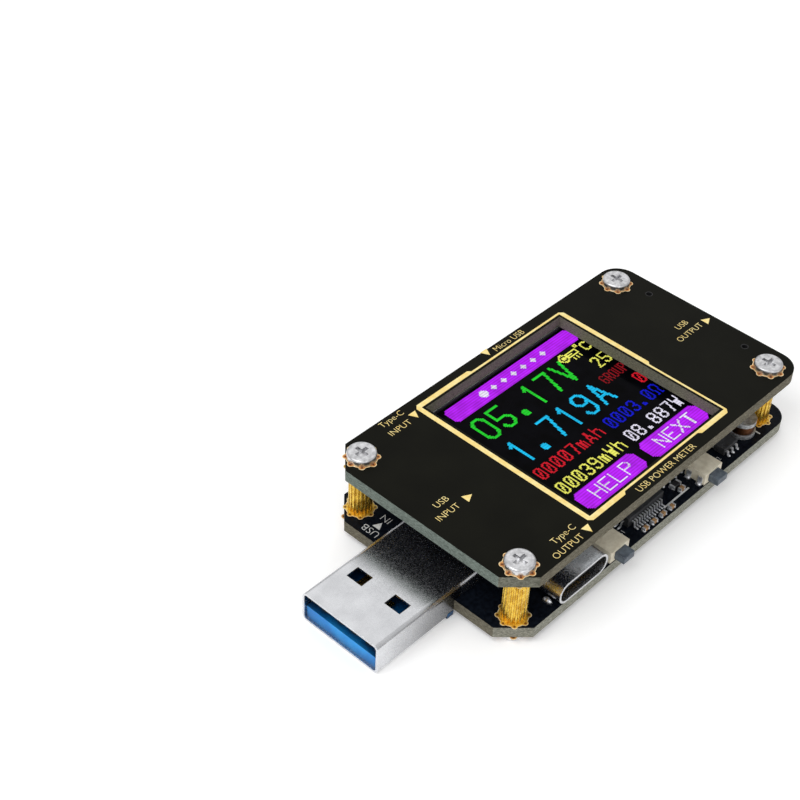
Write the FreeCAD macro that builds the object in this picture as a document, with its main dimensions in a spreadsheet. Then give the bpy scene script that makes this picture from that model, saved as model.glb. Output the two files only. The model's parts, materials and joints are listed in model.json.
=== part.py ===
import FreeCAD, Part
import math
import os
import Sketcher

# A USB power meter: two black circuit boards held apart by four knurled brass
# standoffs, a USB-A plug at one end, a USB-A socket at the other, small ports and
# side-pressed keys along both long edges, and a colour display behind the front panel.
#
# Frame: +X from the plug towards the socket, +Z out of the display, the origin at the
# centre of the footprint, on the plane that the plug and the rear screw heads rest on.

DOC = FreeCAD.newDocument("UsbPowerMeter")
SHEET = DOC.addObject("Spreadsheet::Sheet", "Sizes")
NODES = []

# Every driving size in millimetres. Distances "from_plug_end" start at the boards'
# plug-end edge, and "side" distances start at the centre line.
SIZES = {
    # boards
    "board_length": 56.0,
    "board_width": 30.5,
    "board_thick": 1.6,
    "plug_end_chamfer": 3.3,
    "socket_end_radius": 3.0,
    "window_length": 26.0,
    "window_width": 25.7,
    "window_from_plug_end": 28.1,
    "window_side": 0.15,
    "sensor_hole": 1.0,
    "sensor_hole_inset": 2.3,
    "sensor_hole_spacing": 15.5,
    # screws and standoffs
    "screw_inset": 3.1,
    "screw_spacing_long": 49.2,
    "screw_spacing_wide": 24.6,
    "screw_hole": 2.2,
    "shank_diameter": 1.96,
    "shank_grip": 2.4,
    "head_diameter": 3.7,
    "head_height": 0.9,
    "head_round": 0.3,
    "recess_span": 1.9,
    "recess_slot": 0.5,
    "recess_depth": 0.5,
    "standoff_height": 6.8,
    "standoff_diameter": 3.0,
    "standoff_bore": 2.0,
    "knurl_groove": 0.34,
    # USB-A plug
    "plug_reach": 12.8,
    "plug_width": 12.0,
    "plug_height": 4.5,
    "plug_round": 0.7,
    "shell_sheet": 0.3,
    "plug_saddle": 5.5,
    "plug_base": 1.1,
    "plug_base_height": 0.9,
    "plug_base_tab_width": 4.6,
    "plug_base_tab_length": 0.8,
    "plug_tongue": 1.9,
    "plug_window_length": 1.9,
    "plug_window_width": 2.4,
    "plug_window_from_tip": 6.3,
    "plug_window_side": 3.0,
    "contact_thick": 0.15,
    "contact_width": 1.0,
    "contact_inner_side": 1.0,
    "contact_outer_side": 3.5,
    "plug_contact_setback": 1.2,
    "plug_contact_outer": 7.4,
    "plug_contact_inner": 6.4,
    "plug_fast_setback": 9.2,
    "plug_fast_length": 1.6,
    "fast_contact_width": 0.6,
    "fast_contact_pitch": 1.75,
    "fast_contact_rise": 0.5,
    # USB-A socket
    "socket_width": 13.1,
    "socket_height": 5.7,
    "socket_round": 0.7,
    "socket_depth": 10.7,
    "socket_reach": 0.5,
    "socket_proud": 0.7,
    "socket_notch_gap": 0.1,
    "socket_tongue_width": 11.1,
    "socket_tongue_thick": 1.84,
    "socket_tongue_gap": 2.3,
    "socket_tongue_setback": 0.9,
    "socket_block": 2.2,
    "socket_tab_width": 3.9,
    "socket_tab_length": 1.1,
    "socket_tab_height": 3.8,
    "socket_tab_side": 4.6,
    "socket_contact_start": 1.9,
    "socket_contact_length": 5.0,
    "socket_fast_length": 1.4,
    "socket_wing": 1.3,
    "socket_wing_length": 2.6,
    "socket_wing_from_back": 4.0,
    "seam_slot": 0.08,
    "seam_tail": 1.1,
    "seam_tail_from_back": 4.6,
    "finger_side": 3.6,
    "finger_setback": 1.5,
    "finger_length": 6.0,
    "finger_tip": 2.6,
    "finger_root": 3.5,
    "finger_slot": 0.4,
    "finger_bend": 0.14,
    "finger_bend_length": 0.6,
    "finger_bend_from_tip": 1.4,
    # USB-C ports
    "type_c_width": 8.94,
    "type_c_height": 3.16,
    "type_c_round": 1.5,
    "type_c_depth": 7.35,
    "type_c_tongue_width": 6.7,
    "type_c_tongue_thick": 0.7,
    "type_c_tongue_setback": 0.7,
    "type_c_block": 2.1,
    "type_c_from_plug_end": 12.1,
    "type_c_pin_width": 0.26,
    "type_c_pin_thick": 0.06,
    "type_c_pin_length": 3.4,
    "type_c_pin_setback": 0.4,
    "port_reach": 0.05,
    # micro USB port
    "micro_width": 7.5,
    "micro_height": 2.45,
    "micro_depth": 5.2,
    "micro_slope": 0.85,
    "micro_sheet": 0.25,
    "micro_block": 1.4,
    "micro_tongue_width": 3.7,
    "micro_tongue_thick": 0.6,
    "micro_tongue_height": 1.7,
    "micro_tongue_setback": 0.7,
    "micro_pin_width": 0.35,
    "micro_pin_thick": 0.1,
    "micro_pin_length": 2.7,
    "micro_pin_row": 2.6,
    "micro_from_plug_end": 28.0,
    # side-pressed keys
    "key_length": 3.5,
    "key_depth": 3.0,
    "key_height": 1.7,
    "key_inset": 0.1,
    "key_first_from_plug_end": 19.2,
    "key_second_from_plug_end": 38.3,
    "key_wall": 0.5,
    "key_back_wall": 0.4,
    "key_chamber": 2.8,
    "cap_width": 1.9,
    "cap_height": 1.05,
    "cap_reach": 1.35,
    "cap_flange": 2.6,
    "cap_flange_thick": 0.4,
    "cap_gap": 0.05,
    "cap_round": 0.12,
    "dome_gap": 0.29,
    "dome_half_width": 1.3,
    "dome_rise": 0.7,
    "dome_thick": 0.1,
    "dome_height": 0.95,
    "leg_reach": 0.55,
    "leg_thick": 0.15,
    "leg_height": 1.1,
    "leg_width": 0.7,
    "leg_from_face": 0.3,
    "leg_spacing": 1.7,
    # display
    "lcd_length": 35.4,
    "lcd_width": 28.2,
    "lcd_thick": 2.0,
    "lcd_from_plug_end": 31.3,
    "lcd_rim": 1.2,
    "lcd_floor": 0.3,
    "lcd_recess": 0.35,
    "guide_clear": 0.2,
    "glass_clear": 0.1,
    "glass_thick": 0.7,
    "flex_width": 12.0,
    "flex_thick": 0.12,
    "flex_loop": 1.2,
    "flex_bend": 0.7,
    "flex_clear": 0.5,
    "flex_descent_from_plug_end": 42.3,
    "flex_descent_run": 2.0,
    "flex_foot": 5.0,
    # electronics
    "chip_lift": 0.08,
    "chip_round": 0.08,
    "chip_mark": 0.4,
    "chip_mark_inset": 0.6,
    "chip_mark_depth": 0.05,
    "lead_thick": 0.12,
    "lead_bend_shift": 0.1,
    "inductor_from_plug_end": 48.5,
    "inductor_side": 12.5,
    "inductor_base": 3.6,
    "inductor_top": 3.4,
    "inductor_waist": 2.4,
    "inductor_flange": 0.6,
    "inductor_window": 1.2,
    "inductor_winding": 3.2,
    "winding_gap": 0.02,
    "crystal_from_plug_end": 26.6,
    "crystal_side": 2.4,
    "crystal_length": 3.2,
    "crystal_width": 2.5,
    "crystal_height": 0.75,
    "crystal_round": 0.3,
}

# Leaded packages: where each stands (from the plug end, side), its moulded body (length,
# width, height) and its leads (pitch, width, count on a side, sides, reach, exit height).
PACKAGES = {
    "controller": ((27.2, -9.5), (7.0, 7.0, 1.4), (0.5, 0.22, 12, 4, 1.0, 0.7)),
    "sense": ((34.6, -8.8), (4.9, 3.9, 1.4), (1.27, 0.4, 4, 2, 1.05, 0.7)),
    "switch": ((44.3, -12.9), (2.9, 1.6, 1.0), (0.95, 0.38, 3, 2, 0.6, 0.5)),
    "regulator": ((13.0, 2.6), (2.9, 1.6, 1.0), (0.95, 0.38, 3, 2, 0.6, 0.5)),
}

# Two-ended parts: the size (length, width, end cap), the height, and the places.
TWO_ENDED = {
    "ceramic_capacitors": (
        (1.0, 0.5, 0.22),
        0.5,
        [(25.1, -14.65), (26.8, -14.65), (28.6, -14.65), (30.4, -14.65), (32.6, -4.2), (33.9, -13.6)]
        + [(22.4, -2.6), (34.2, 13.9), (22.6, 13.9), (46.9, -9.2)],
    ),
    "chip_resistors": (
        (1.6, 0.8, 0.3),
        0.45,
        [(30.2, -2.6), (33.4, -2.6), (18.2, 1.6), (18.2, 3.4), (44.6, 13.4), (44.6, 11.8), (33.9, -12.6)],
    ),
    "shunt_resistor": ((6.3, 3.2, 0.9), 0.6, [(24.0, 4.2)]),
}

# Rules that several pieces share.
PLUG_END = "(Sizes.plug_reach - Sizes.socket_reach - Sizes.board_length) / 2"
REAR_FACE = "Sizes.head_height"
BOARD_TOP = "Sizes.head_height + Sizes.board_thick"
PANEL_UNDER = f"{BOARD_TOP} + Sizes.standoff_height"
PANEL_FACE = f"{PANEL_UNDER} + Sizes.board_thick"
HALF_WIDTH = "Sizes.board_width / 2"
THROUGH = "100"
GAP = "0.05"


def fill_sheet():
    for row, (alias, size) in enumerate(SIZES.items(), 1):
        SHEET.set(f"A{row}", alias)
        SHEET.set(f"B{row}", str(size))
        SHEET.setAlias(f"B{row}", alias)
    DOC.recompute()


def value(rule):
    """The number that an expression gives now."""
    return float(SHEET.evalExpression(rule))


# ---- bodies, sketches and outlines -------------------------------------------------


def new_body(name, along="0", side="0", height="0", turn=None):
    """A body placed by rules: along from the boards' plug end, side and height."""
    body = DOC.addObject("PartDesign::Body", name)
    body.Label = name
    if turn:
        axis, angle = turn
        body.Placement = FreeCAD.Placement(FreeCAD.Vector(), FreeCAD.Rotation(axis, angle))
    body.setExpression("Placement.Base.x", f"{PLUG_END} + ({along})")
    body.setExpression("Placement.Base.y", side)
    body.setExpression("Placement.Base.z", height)
    NODES.append(body)
    return body


def origin_feature(body, role):
    return next(item for item in body.Origin.OriginFeatures if item.Role == role)


def new_sketch(body, plane="XY_Plane", offset="0"):
    """A sketch on one of the body's origin planes, moved along its normal."""
    sketch = body.newObject("Sketcher::SketchObject", f"{body.Label}_outline")
    sketch.AttachmentSupport = [(origin_feature(body, plane), "")]
    sketch.MapMode = "FlatFace"
    sketch.setExpression("AttachmentOffset.Base.z", offset)
    return sketch


def drive(sketch, kind, *where, rule):
    """A dimension that follows a rule."""
    number = sketch.addConstraint(Sketcher.Constraint(kind, *where, value(rule)))
    sketch.setExpression(f"Constraints[{number}]", rule)


def outline(sketch, corners):
    """A closed polygon whose corners are pairs of rules."""
    first = sketch.GeometryCount
    points = [FreeCAD.Vector(value(x), value(y)) for x, y in corners]
    count = len(points)
    for index in range(count):
        sketch.addGeometry(Part.LineSegment(points[index], points[(index + 1) % count]), False)
    for index, (x, y) in enumerate(corners):
        following = first + (index + 1) % count
        sketch.addConstraint(Sketcher.Constraint("Coincident", first + index, 2, following, 1))
        drive(sketch, "DistanceX", -1, 1, first + index, 1, rule=x)
        drive(sketch, "DistanceY", -1, 1, first + index, 1, rule=y)


def rectangle(sketch, x, y, width, height):
    """A rectangle centred on (x, y)."""
    left, right = f"({x}) - ({width}) / 2", f"({x}) + ({width}) / 2"
    low, high = f"({y}) - ({height}) / 2", f"({y}) + ({height}) / 2"
    outline(sketch, [(left, low), (right, low), (right, high), (left, high)])


def rounded_rectangle(sketch, x, y, width, height, radius):
    """A rectangle centred on (x, y) with its corners rounded."""
    first = sketch.GeometryCount
    reach_x, reach_y = f"(({width}) / 2 - ({radius}))", f"(({height}) / 2 - ({radius}))"
    corners = []
    for quarter, (sign_x, sign_y) in enumerate((("+", "-"), ("+", "+"), ("-", "+"), ("-", "-"))):
        corner = (f"({x}) {sign_x} {reach_x}", f"({y}) {sign_y} {reach_y}")
        corners.append(corner)
        centre = FreeCAD.Vector(value(corner[0]), value(corner[1]))
        ring = Part.Circle(centre, FreeCAD.Vector(0, 0, 1), value(radius))
        start = math.radians(90 * (quarter - 1))
        sketch.addGeometry(Part.ArcOfCircle(ring, start, start + math.pi / 2), False)
    ends = [sketch.getPoint(first + quarter, 2) for quarter in range(4)]
    starts = [sketch.getPoint(first + quarter, 1) for quarter in range(4)]
    for quarter, (corner_x, corner_y) in enumerate(corners):
        following = (quarter + 1) % 4
        side = sketch.addGeometry(Part.LineSegment(ends[quarter], starts[following]), False)
        sketch.addConstraint(Sketcher.Constraint("Tangent", first + quarter, 2, side, 1))
        sketch.addConstraint(Sketcher.Constraint("Tangent", side, 2, first + following, 1))
        drive(sketch, "DistanceX", -1, 1, first + quarter, 3, rule=corner_x)
        drive(sketch, "DistanceY", -1, 1, first + quarter, 3, rule=corner_y)
        drive(sketch, "Radius", first + quarter, rule=radius)


def tube_section(sketch, centre_height, width, height, radius, sheet):
    """The section of a folded sheet shell: one rounded rectangle inside another."""
    rounded_rectangle(sketch, "0", centre_height, width, height, radius)
    inner = (f"({width}) - 2 * {sheet}", f"({height}) - 2 * {sheet}", f"({radius}) - {sheet}")
    rounded_rectangle(sketch, "0", centre_height, *inner)


def circle(sketch, x, y, diameter):
    centre = FreeCAD.Vector(value(x), value(y))
    number = sketch.addGeometry(Part.Circle(centre, FreeCAD.Vector(0, 0, 1), value(diameter) / 2), False)
    drive(sketch, "DistanceX", -1, 1, number, 3, rule=x)
    drive(sketch, "DistanceY", -1, 1, number, 3, rule=y)
    drive(sketch, "Diameter", number, rule=diameter)


# ---- features ------------------------------------------------------------------------


def finish_feature(body, feature):
    body.Tip = feature
    DOC.recompute()
    if "Invalid" in feature.State or "Error" in feature.State:
        raise RuntimeError(f"{feature.Label} did not build")
    return feature


def pad(body, sketch, length, backwards=False, centred=False):
    feature = body.newObject("PartDesign::Pad", f"{body.Label}_pad")
    feature.Profile = sketch
    feature.Reversed = backwards
    feature.Midplane = centred
    feature.setExpression("Length", length)
    return finish_feature(body, feature)


def pocket(body, sketch, length=None, backwards=False, centred=False):
    """Cut against the sketch's normal, or along it when backwards, and prove it cut."""
    before = body.Shape.Volume
    feature = body.newObject("PartDesign::Pocket", f"{body.Label}_pocket")
    feature.Profile = sketch
    feature.Reversed = backwards
    feature.Midplane = centred
    feature.setExpression("Length", length or THROUGH)
    finish_feature(body, feature)
    if body.Shape.Volume >= before:
        raise RuntimeError(f"a pocket of {body.Label} cut nothing")
    return feature


def edges_along(body, axis, test):
    """Names of the straight edges that run along an axis and pass a test on their middle."""
    names = []
    for number, edge in enumerate(body.Shape.Edges, 1):
        if edge.Curve.TypeId != "Part::GeomLine" or abs(edge.Curve.Direction.dot(axis)) < 0.999:
            continue
        if test(body.Placement.inverse().multVec(edge.CenterOfMass)):
            names.append(f"Edge{number}")
    return names


def round_named(body, radius, names):
    base = body.Tip
    feature = body.newObject("PartDesign::Fillet", f"{body.Label}_fillet")
    feature.Base = (base, names)
    feature.setExpression("Radius", radius)
    return finish_feature(body, feature)


def round_edges(body, radius, axis, test=lambda middle: True):
    return round_named(body, radius, edges_along(body, axis, test))


def repeat(body, axis, length, count, second=None):
    """Copy the whole body in a row, or in a grid with a second (axis, length, count)."""
    feature = body.newObject("PartDesign::LinearPattern", f"{body.Label}_row")
    feature.TransformMode = "Whole shape"
    feature.Direction = (origin_feature(body, axis), [""])
    feature.setExpression("Length", length)
    feature.Occurrences = count
    if second:
        axis, length, count = second
        feature.Direction2 = (origin_feature(body, axis), [""])
        feature.setExpression("Length2", length)
        feature.Occurrences2 = count
    return finish_feature(body, feature)


def turn_about(body, axis, count):
    """Copy the whole body around one of its own axes."""
    feature = body.newObject("PartDesign::PolarPattern", f"{body.Label}_ring")
    feature.TransformMode = "Whole shape"
    feature.Axis = (origin_feature(body, axis), [""])
    feature.Angle = 360
    feature.Occurrences = count
    return finish_feature(body, feature)


X_AXIS = FreeCAD.Vector(1, 0, 0)
Z_AXIS = FreeCAD.Vector(0, 0, 1)
FACING_REAR = (X_AXIS, 180)
FACING_BACK = (Z_AXIS, 180)


# ---- boards and fasteners ------------------------------------------------------------


def board_blank(name, height):
    """The outline both boards share, with its four screw holes."""
    body = new_body(name, height=height)
    sketch = new_sketch(body)
    length, cut = "Sizes.board_length", "Sizes.plug_end_chamfer"
    outline(
        sketch,
        [
            ("0", f"{cut} - {HALF_WIDTH}"),
            (cut, f"-{HALF_WIDTH}"),
            (length, f"-{HALF_WIDTH}"),
            (length, HALF_WIDTH),
            (cut, HALF_WIDTH),
            ("0", f"{HALF_WIDTH} - {cut}"),
        ],
    )
    pad(body, sketch, "Sizes.board_thick")
    far_end = value(length)
    round_edges(body, "Sizes.socket_end_radius", Z_AXIS, lambda middle: middle.x > far_end - 0.1)
    holes = new_sketch(body)
    for along in ("Sizes.screw_inset", "Sizes.screw_inset + Sizes.screw_spacing_long"):
        for sign in ("-", ""):
            circle(holes, along, f"{sign}Sizes.screw_spacing_wide / 2", "Sizes.screw_hole")
    pocket(body, holes, backwards=True)
    return body


def front_panel():
    body = board_blank("front_panel", PANEL_UNDER)
    sketch = new_sketch(body)
    rectangle(
        sketch, "Sizes.window_from_plug_end", "Sizes.window_side", "Sizes.window_length", "Sizes.window_width"
    )
    for sign in ("-", ""):
        circle(
            sketch,
            "Sizes.board_length - Sizes.sensor_hole_inset",
            f"{sign}Sizes.sensor_hole_spacing / 2",
            "Sizes.sensor_hole",
        )
    pocket(body, sketch, backwards=True)


def main_board():
    """The rear board, notched for the socket's shell and for its two plastic tabs."""
    body = board_blank("main_board", REAR_FACE)
    gap = "Sizes.socket_notch_gap"
    notch = f"Sizes.socket_depth - Sizes.socket_reach + {gap}"
    sketch = new_sketch(body)
    middle = f"Sizes.board_length - ({notch}) / 2 + 1"
    rectangle(sketch, middle, "0", f"{notch} + 2", f"Sizes.socket_width + 2 * {gap}")
    pocket(body, sketch, backwards=True)
    bays = new_sketch(body)
    for sign in ("-", ""):
        rectangle(
            bays,
            f"Sizes.board_length - ({notch}) - Sizes.socket_tab_length / 2",
            f"{sign}Sizes.socket_tab_side",
            f"Sizes.socket_tab_length + 2 * {gap}",
            f"Sizes.socket_tab_width + 2 * {gap}",
        )
    pocket(body, bays, backwards=True)


def four_corners(body):
    """Repeat a piece built at the first screw position over the screw rectangle."""
    wide = ("Y_Axis", "Sizes.screw_spacing_wide", 2)
    repeat(body, "X_Axis", "Sizes.screw_spacing_long", 2, second=wide)


def standoffs():
    body = new_body("standoffs", "Sizes.screw_inset", "-Sizes.screw_spacing_wide / 2", BOARD_TOP)
    sketch = new_sketch(body)
    circle(sketch, "0", "0", "Sizes.standoff_diameter")
    circle(sketch, "0", "0", "Sizes.standoff_bore")
    pad(body, sketch, "Sizes.standoff_height")
    groove = new_sketch(body)
    circle(groove, "Sizes.standoff_diameter / 2", "0", "Sizes.knurl_groove")
    cut = pocket(body, groove, backwards=True)
    knurl = body.newObject("PartDesign::PolarPattern", "standoffs_knurl")
    knurl.Originals = [cut]
    knurl.Axis = (origin_feature(body, "Z_Axis"), [""])
    knurl.Angle = 360
    knurl.Occurrences = 18
    finish_feature(body, knurl)
    four_corners(body)


def screws(name, height, turn):
    """Four pan-head screws with a cross recess, their heads outwards."""
    body = new_body(name, "Sizes.screw_inset", "-Sizes.screw_spacing_wide / 2", height, turn)
    if turn:
        body.setExpression("Placement.Base.y", "Sizes.screw_spacing_wide / 2")
    head = new_sketch(body)
    circle(head, "0", "0", "Sizes.head_diameter")
    pad(body, head, "Sizes.head_height")
    to_body, half_height = body.Placement.inverse(), value("Sizes.head_height / 2")
    top = [
        f"Edge{number}"
        for number, edge in enumerate(body.Shape.Edges, 1)
        if edge.Closed and to_body.multVec(edge.CenterOfMass).z > half_height
    ]
    round_named(body, "Sizes.head_round", top)
    cross = new_sketch(body, offset="Sizes.head_height")
    span, slot = "Sizes.recess_span / 2", "Sizes.recess_slot / 2"
    arms = [(span, slot), (slot, slot), (slot, span)]
    corners = []
    for flip_x, flip_y, order in (("", "", 1), ("-", "", -1), ("-", "-", 1), ("", "-", -1)):
        corners += [(flip_x + x, flip_y + y) for x, y in arms[::order]]
    outline(cross, corners)
    pocket(body, cross, "Sizes.recess_depth")
    shank = new_sketch(body)
    circle(shank, "0", "0", "Sizes.shank_diameter")
    pad(body, shank, "Sizes.board_thick + Sizes.shank_grip", backwards=True)
    four_corners(body)


# ---- USB-A plug ----------------------------------------------------------------------


def plug_shell():
    """The plug's tube; behind the boards' edge only its upper half goes on, as a saddle."""
    body = new_body("plug_shell", "-Sizes.plug_reach")
    sheet, height = "Sizes.shell_sheet", "Sizes.plug_height"
    section = new_sketch(body, "YZ_Plane")
    tube_section(section, f"{height} / 2", "Sizes.plug_width", height, "Sizes.plug_round", sheet)
    pad(body, section, "Sizes.plug_reach + Sizes.plug_saddle")
    base_start, beyond = "Sizes.plug_reach - Sizes.plug_base", "2 * Sizes.plug_saddle"
    for start, level in ((base_start, "Sizes.plug_base_height"), ("Sizes.plug_reach", BOARD_TOP)):
        lower = new_sketch(body, "XZ_Plane")
        rectangle(lower, f"{start} + {beyond} / 2", "0", beyond, f"2 * ({level})")
        pocket(body, lower, centred=True)
    notch = new_sketch(body)
    rectangle(
        notch,
        base_start,
        "0",
        "2 * Sizes.plug_base_tab_length + 0.1",
        "Sizes.plug_base_tab_width + 0.1",
    )
    pocket(body, notch, sheet, backwards=True)
    windows = new_sketch(body)
    for sign in ("-", ""):
        rectangle(
            windows,
            "Sizes.plug_window_from_tip",
            f"{sign}Sizes.plug_window_side",
            "Sizes.plug_window_length",
            "Sizes.plug_window_width",
        )
    pocket(body, windows, backwards=True)


def plug_insulator():
    """The tongue that carries the contacts, its base at the boards' edge and its tail."""
    body = new_body("plug_insulator", "-Sizes.plug_reach")
    sheet, nose = "Sizes.shell_sheet", "Sizes.shell_sheet"
    tongue_top = f"{sheet} + Sizes.plug_tongue"
    roof = f"Sizes.plug_height - {sheet} - {GAP}"
    base_start = "Sizes.plug_reach - Sizes.plug_base"
    tail_end = "Sizes.plug_reach + Sizes.plug_saddle - 0.8"
    profile = new_sketch(body, "XZ_Plane")
    outline(
        profile,
        [
            (nose, sheet),
            ("Sizes.plug_reach", sheet),
            ("Sizes.plug_reach", BOARD_TOP),
            (tail_end, BOARD_TOP),
            (tail_end, roof),
            (base_start, roof),
            (base_start, tongue_top),
            (nose, tongue_top),
        ],
    )
    pad(body, profile, f"Sizes.plug_width - 2 * {sheet} - 2 * {GAP}", centred=True)
    low, high = value(sheet), value(roof)
    corner = f"Sizes.plug_round - {sheet}"
    round_edges(body, corner, X_AXIS, lambda middle: middle.z < low + 0.01 or middle.z > high - 0.01)
    base = new_sketch(body, "YZ_Plane", base_start)
    base_height = f"Sizes.plug_base_height - 4 * {GAP}"
    rectangle(base, "0", "Sizes.plug_base_height / 2", "Sizes.plug_width", base_height)
    pad(body, base, "Sizes.plug_base")
    tab = new_sketch(body, "YZ_Plane", f"{base_start} - Sizes.plug_base_tab_length")
    rectangle(tab, "0", f"{sheet} / 2 + 2 * {GAP}", "Sizes.plug_base_tab_width", sheet)
    pad(body, tab, "Sizes.plug_base_tab_length")


def contact_strips(name, along, height, setback, outer, inner):
    """Four flat contacts side by side, the outer pair and the inner pair each of one length."""
    body = new_body(name, along, height=height)
    sketch = new_sketch(body)
    for length, side in ((outer, "Sizes.contact_outer_side"), (inner, "Sizes.contact_inner_side")):
        for sign in ("-", ""):
            rectangle(sketch, f"{setback} + {length} / 2", f"{sign}{side}", length, "Sizes.contact_width")
    pad(body, sketch, "Sizes.contact_thick")
    return body


def fast_contacts(body, start, length, level="0", downwards=False):
    """The five narrow raised contacts in a row across a tongue."""
    sketch = new_sketch(body, offset=level)
    for step in range(-2, 3):
        side = f"{step} * Sizes.fast_contact_pitch"
        rectangle(sketch, f"{start} + {length} / 2", side, length, "Sizes.fast_contact_width")
    pad(body, sketch, "Sizes.fast_contact_rise", backwards=downwards)


def plug_contacts():
    height = "Sizes.shell_sheet + Sizes.plug_tongue"
    outer, inner = "Sizes.plug_contact_outer", "Sizes.plug_contact_inner"
    setback = "Sizes.plug_contact_setback"
    body = contact_strips("plug_contacts", "-Sizes.plug_reach", height, setback, outer, inner)
    fast_contacts(body, "Sizes.plug_fast_setback", "Sizes.plug_fast_length")


# ---- USB-A socket --------------------------------------------------------------------

SOCKET_BACK = "Sizes.board_length + Sizes.socket_reach - Sizes.socket_depth"
SOCKET_FLOOR = f"{REAR_FACE} - Sizes.socket_proud"


def finger_slots(sketch, sign):
    """A U-shaped slot that frees a tapered spring finger, its tip towards the mouth."""
    tip = "Sizes.socket_depth - Sizes.finger_setback"
    root = f"{tip} - Sizes.finger_length"
    centre = f"{sign}Sizes.finger_side"
    near, far = "Sizes.finger_tip / 2", "Sizes.finger_root / 2"
    slot = "Sizes.finger_slot"
    outer = [(root, f"{centre} - {far}"), (tip, f"{centre} - {near}"), (tip, f"{centre} + {near}")]
    outer.append((root, f"{centre} + {far}"))
    inner_tip = f"{tip} - 1.5 * {slot}"
    inner = [(root, f"{centre} + {far} - {slot}"), (inner_tip, f"{centre} + {near} - {slot}")]
    inner += [(inner_tip, f"{centre} - {near} + {slot}"), (root, f"{centre} - {far} + {slot}")]
    outline(sketch, outer + inner)


def seam(sketch):
    """The thin joint where the folded sheet's edges meet, locked by one dovetail."""
    tail, depth, slot = "Sizes.seam_tail_from_back", "Sizes.seam_tail", "Sizes.seam_slot"
    neck, head = f"0.8 * {depth}", f"1.2 * {depth}"
    line = [("-1", "0"), (f"{tail} - {neck}", "0"), (f"{tail} - {head}", depth)]
    line += [(f"{tail} + {head}", depth), (f"{tail} + {neck}", "0"), ("Sizes.socket_depth + 1", "0")]
    shifts = ["", f" + {slot}", f" + {slot}", f" - {slot}", f" - {slot}", ""]
    beside = [(x + shift, f"{y} - {slot}") for (x, y), shift in zip(line, shifts)]
    outline(sketch, line + beside[::-1])


def finger_bends(sketch, sign):
    """The crosswise crease that turns a finger's tip into the opening."""
    bend = "Sizes.socket_depth - Sizes.finger_setback - Sizes.finger_bend_from_tip"
    width = "Sizes.finger_tip - 3 * Sizes.finger_slot"
    rectangle(sketch, bend, f"{sign}Sizes.finger_side", "Sizes.finger_bend_length", width)


def socket_shell():
    body = new_body("socket_shell", SOCKET_BACK, height=SOCKET_FLOOR)
    height, sheet = "Sizes.socket_height", "Sizes.shell_sheet"
    section = new_sketch(body, "YZ_Plane")
    tube_section(section, f"{height} / 2", "Sizes.socket_width", height, "Sizes.socket_round", sheet)
    pad(body, section, "Sizes.socket_depth")
    cuts = new_sketch(body)
    finger_slots(cuts, "-")
    finger_slots(cuts, "")
    seam(cuts)
    pocket(body, cuts, f"{height} / 2", backwards=True)
    creases, ridges = new_sketch(body), new_sketch(body, offset=sheet)
    for sign in ("-", ""):
        finger_bends(creases, sign)
        finger_bends(ridges, sign)
    pad(body, ridges, "Sizes.finger_bend")
    pocket(body, creases, "Sizes.finger_bend", backwards=True)
    wings = new_sketch(body, offset=f"{BOARD_TOP} - ({SOCKET_FLOOR})")
    root, wing = "Sizes.socket_width / 2 - 0.1", "Sizes.socket_wing"
    for sign in ("-", ""):
        side = f"{sign}({root} + ({wing} + 0.1) / 2)"
        rectangle(wings, "Sizes.socket_wing_from_back", side, "Sizes.socket_wing_length", f"{wing} + 0.1")
    pad(body, wings, sheet)


def socket_housing():
    """The blue moulding: a block at the back, a tongue, and two tabs behind the shell."""
    body = new_body("socket_housing", SOCKET_BACK, height=SOCKET_FLOOR)
    sheet = "Sizes.shell_sheet"
    width, height = [f"Sizes.socket_{side} - 2 * {sheet} - 2 * {GAP}" for side in ("width", "height")]
    block = new_sketch(body, "YZ_Plane")
    rectangle(block, "0", "Sizes.socket_height / 2", width, height)
    pad(body, block, "Sizes.socket_block")
    round_edges(body, f"Sizes.socket_round - {sheet}", X_AXIS)
    tongue = new_sketch(body, offset=f"{sheet} + Sizes.socket_tongue_gap")
    root, tip = "Sizes.socket_block / 2", "(Sizes.socket_depth - Sizes.socket_tongue_setback)"
    rectangle(tongue, f"({root} + {tip}) / 2", "0", f"{tip} - {root}", "Sizes.socket_tongue_width")
    pad(body, tongue, "Sizes.socket_tongue_thick")
    front = value(tip)
    round_edges(body, f"2 * {sheet}", Z_AXIS, lambda middle: middle.x > front - 0.1)
    tabs = new_sketch(body, "YZ_Plane", "-Sizes.socket_tab_length")
    middle, tall = f"{sheet} + Sizes.socket_tab_height / 2", "Sizes.socket_tab_height"
    for sign in ("-", ""):
        rectangle(tabs, f"{sign}Sizes.socket_tab_side", middle, "Sizes.socket_tab_width", tall)
    pad(body, tabs, "Sizes.socket_tab_length")


def socket_contacts():
    """The contacts lie on the rear-facing side of the tongue."""
    height = f"{SOCKET_FLOOR} + Sizes.shell_sheet + Sizes.socket_tongue_gap - Sizes.contact_thick"
    setback = "Sizes.socket_block + Sizes.socket_contact_start"
    length = "Sizes.socket_contact_length"
    body = contact_strips("socket_contacts", SOCKET_BACK, height, setback, length, length)
    start, thick = f"Sizes.socket_block + 2 * {GAP}", "Sizes.contact_thick"
    fast_contacts(body, start, "Sizes.socket_fast_length", level=thick, downwards=True)


# ---- small ports on the long edges ---------------------------------------------------


def port_body(name, along, facing_back):
    """A port on the main board's inner face whose mouth is at y = 0, facing -Y."""
    reach = f"{HALF_WIDTH} + Sizes.port_reach"
    if facing_back:
        return new_body(name, along, reach, BOARD_TOP, FACING_BACK)
    return new_body(name, along, f"-({reach})", BOARD_TOP)


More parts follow.
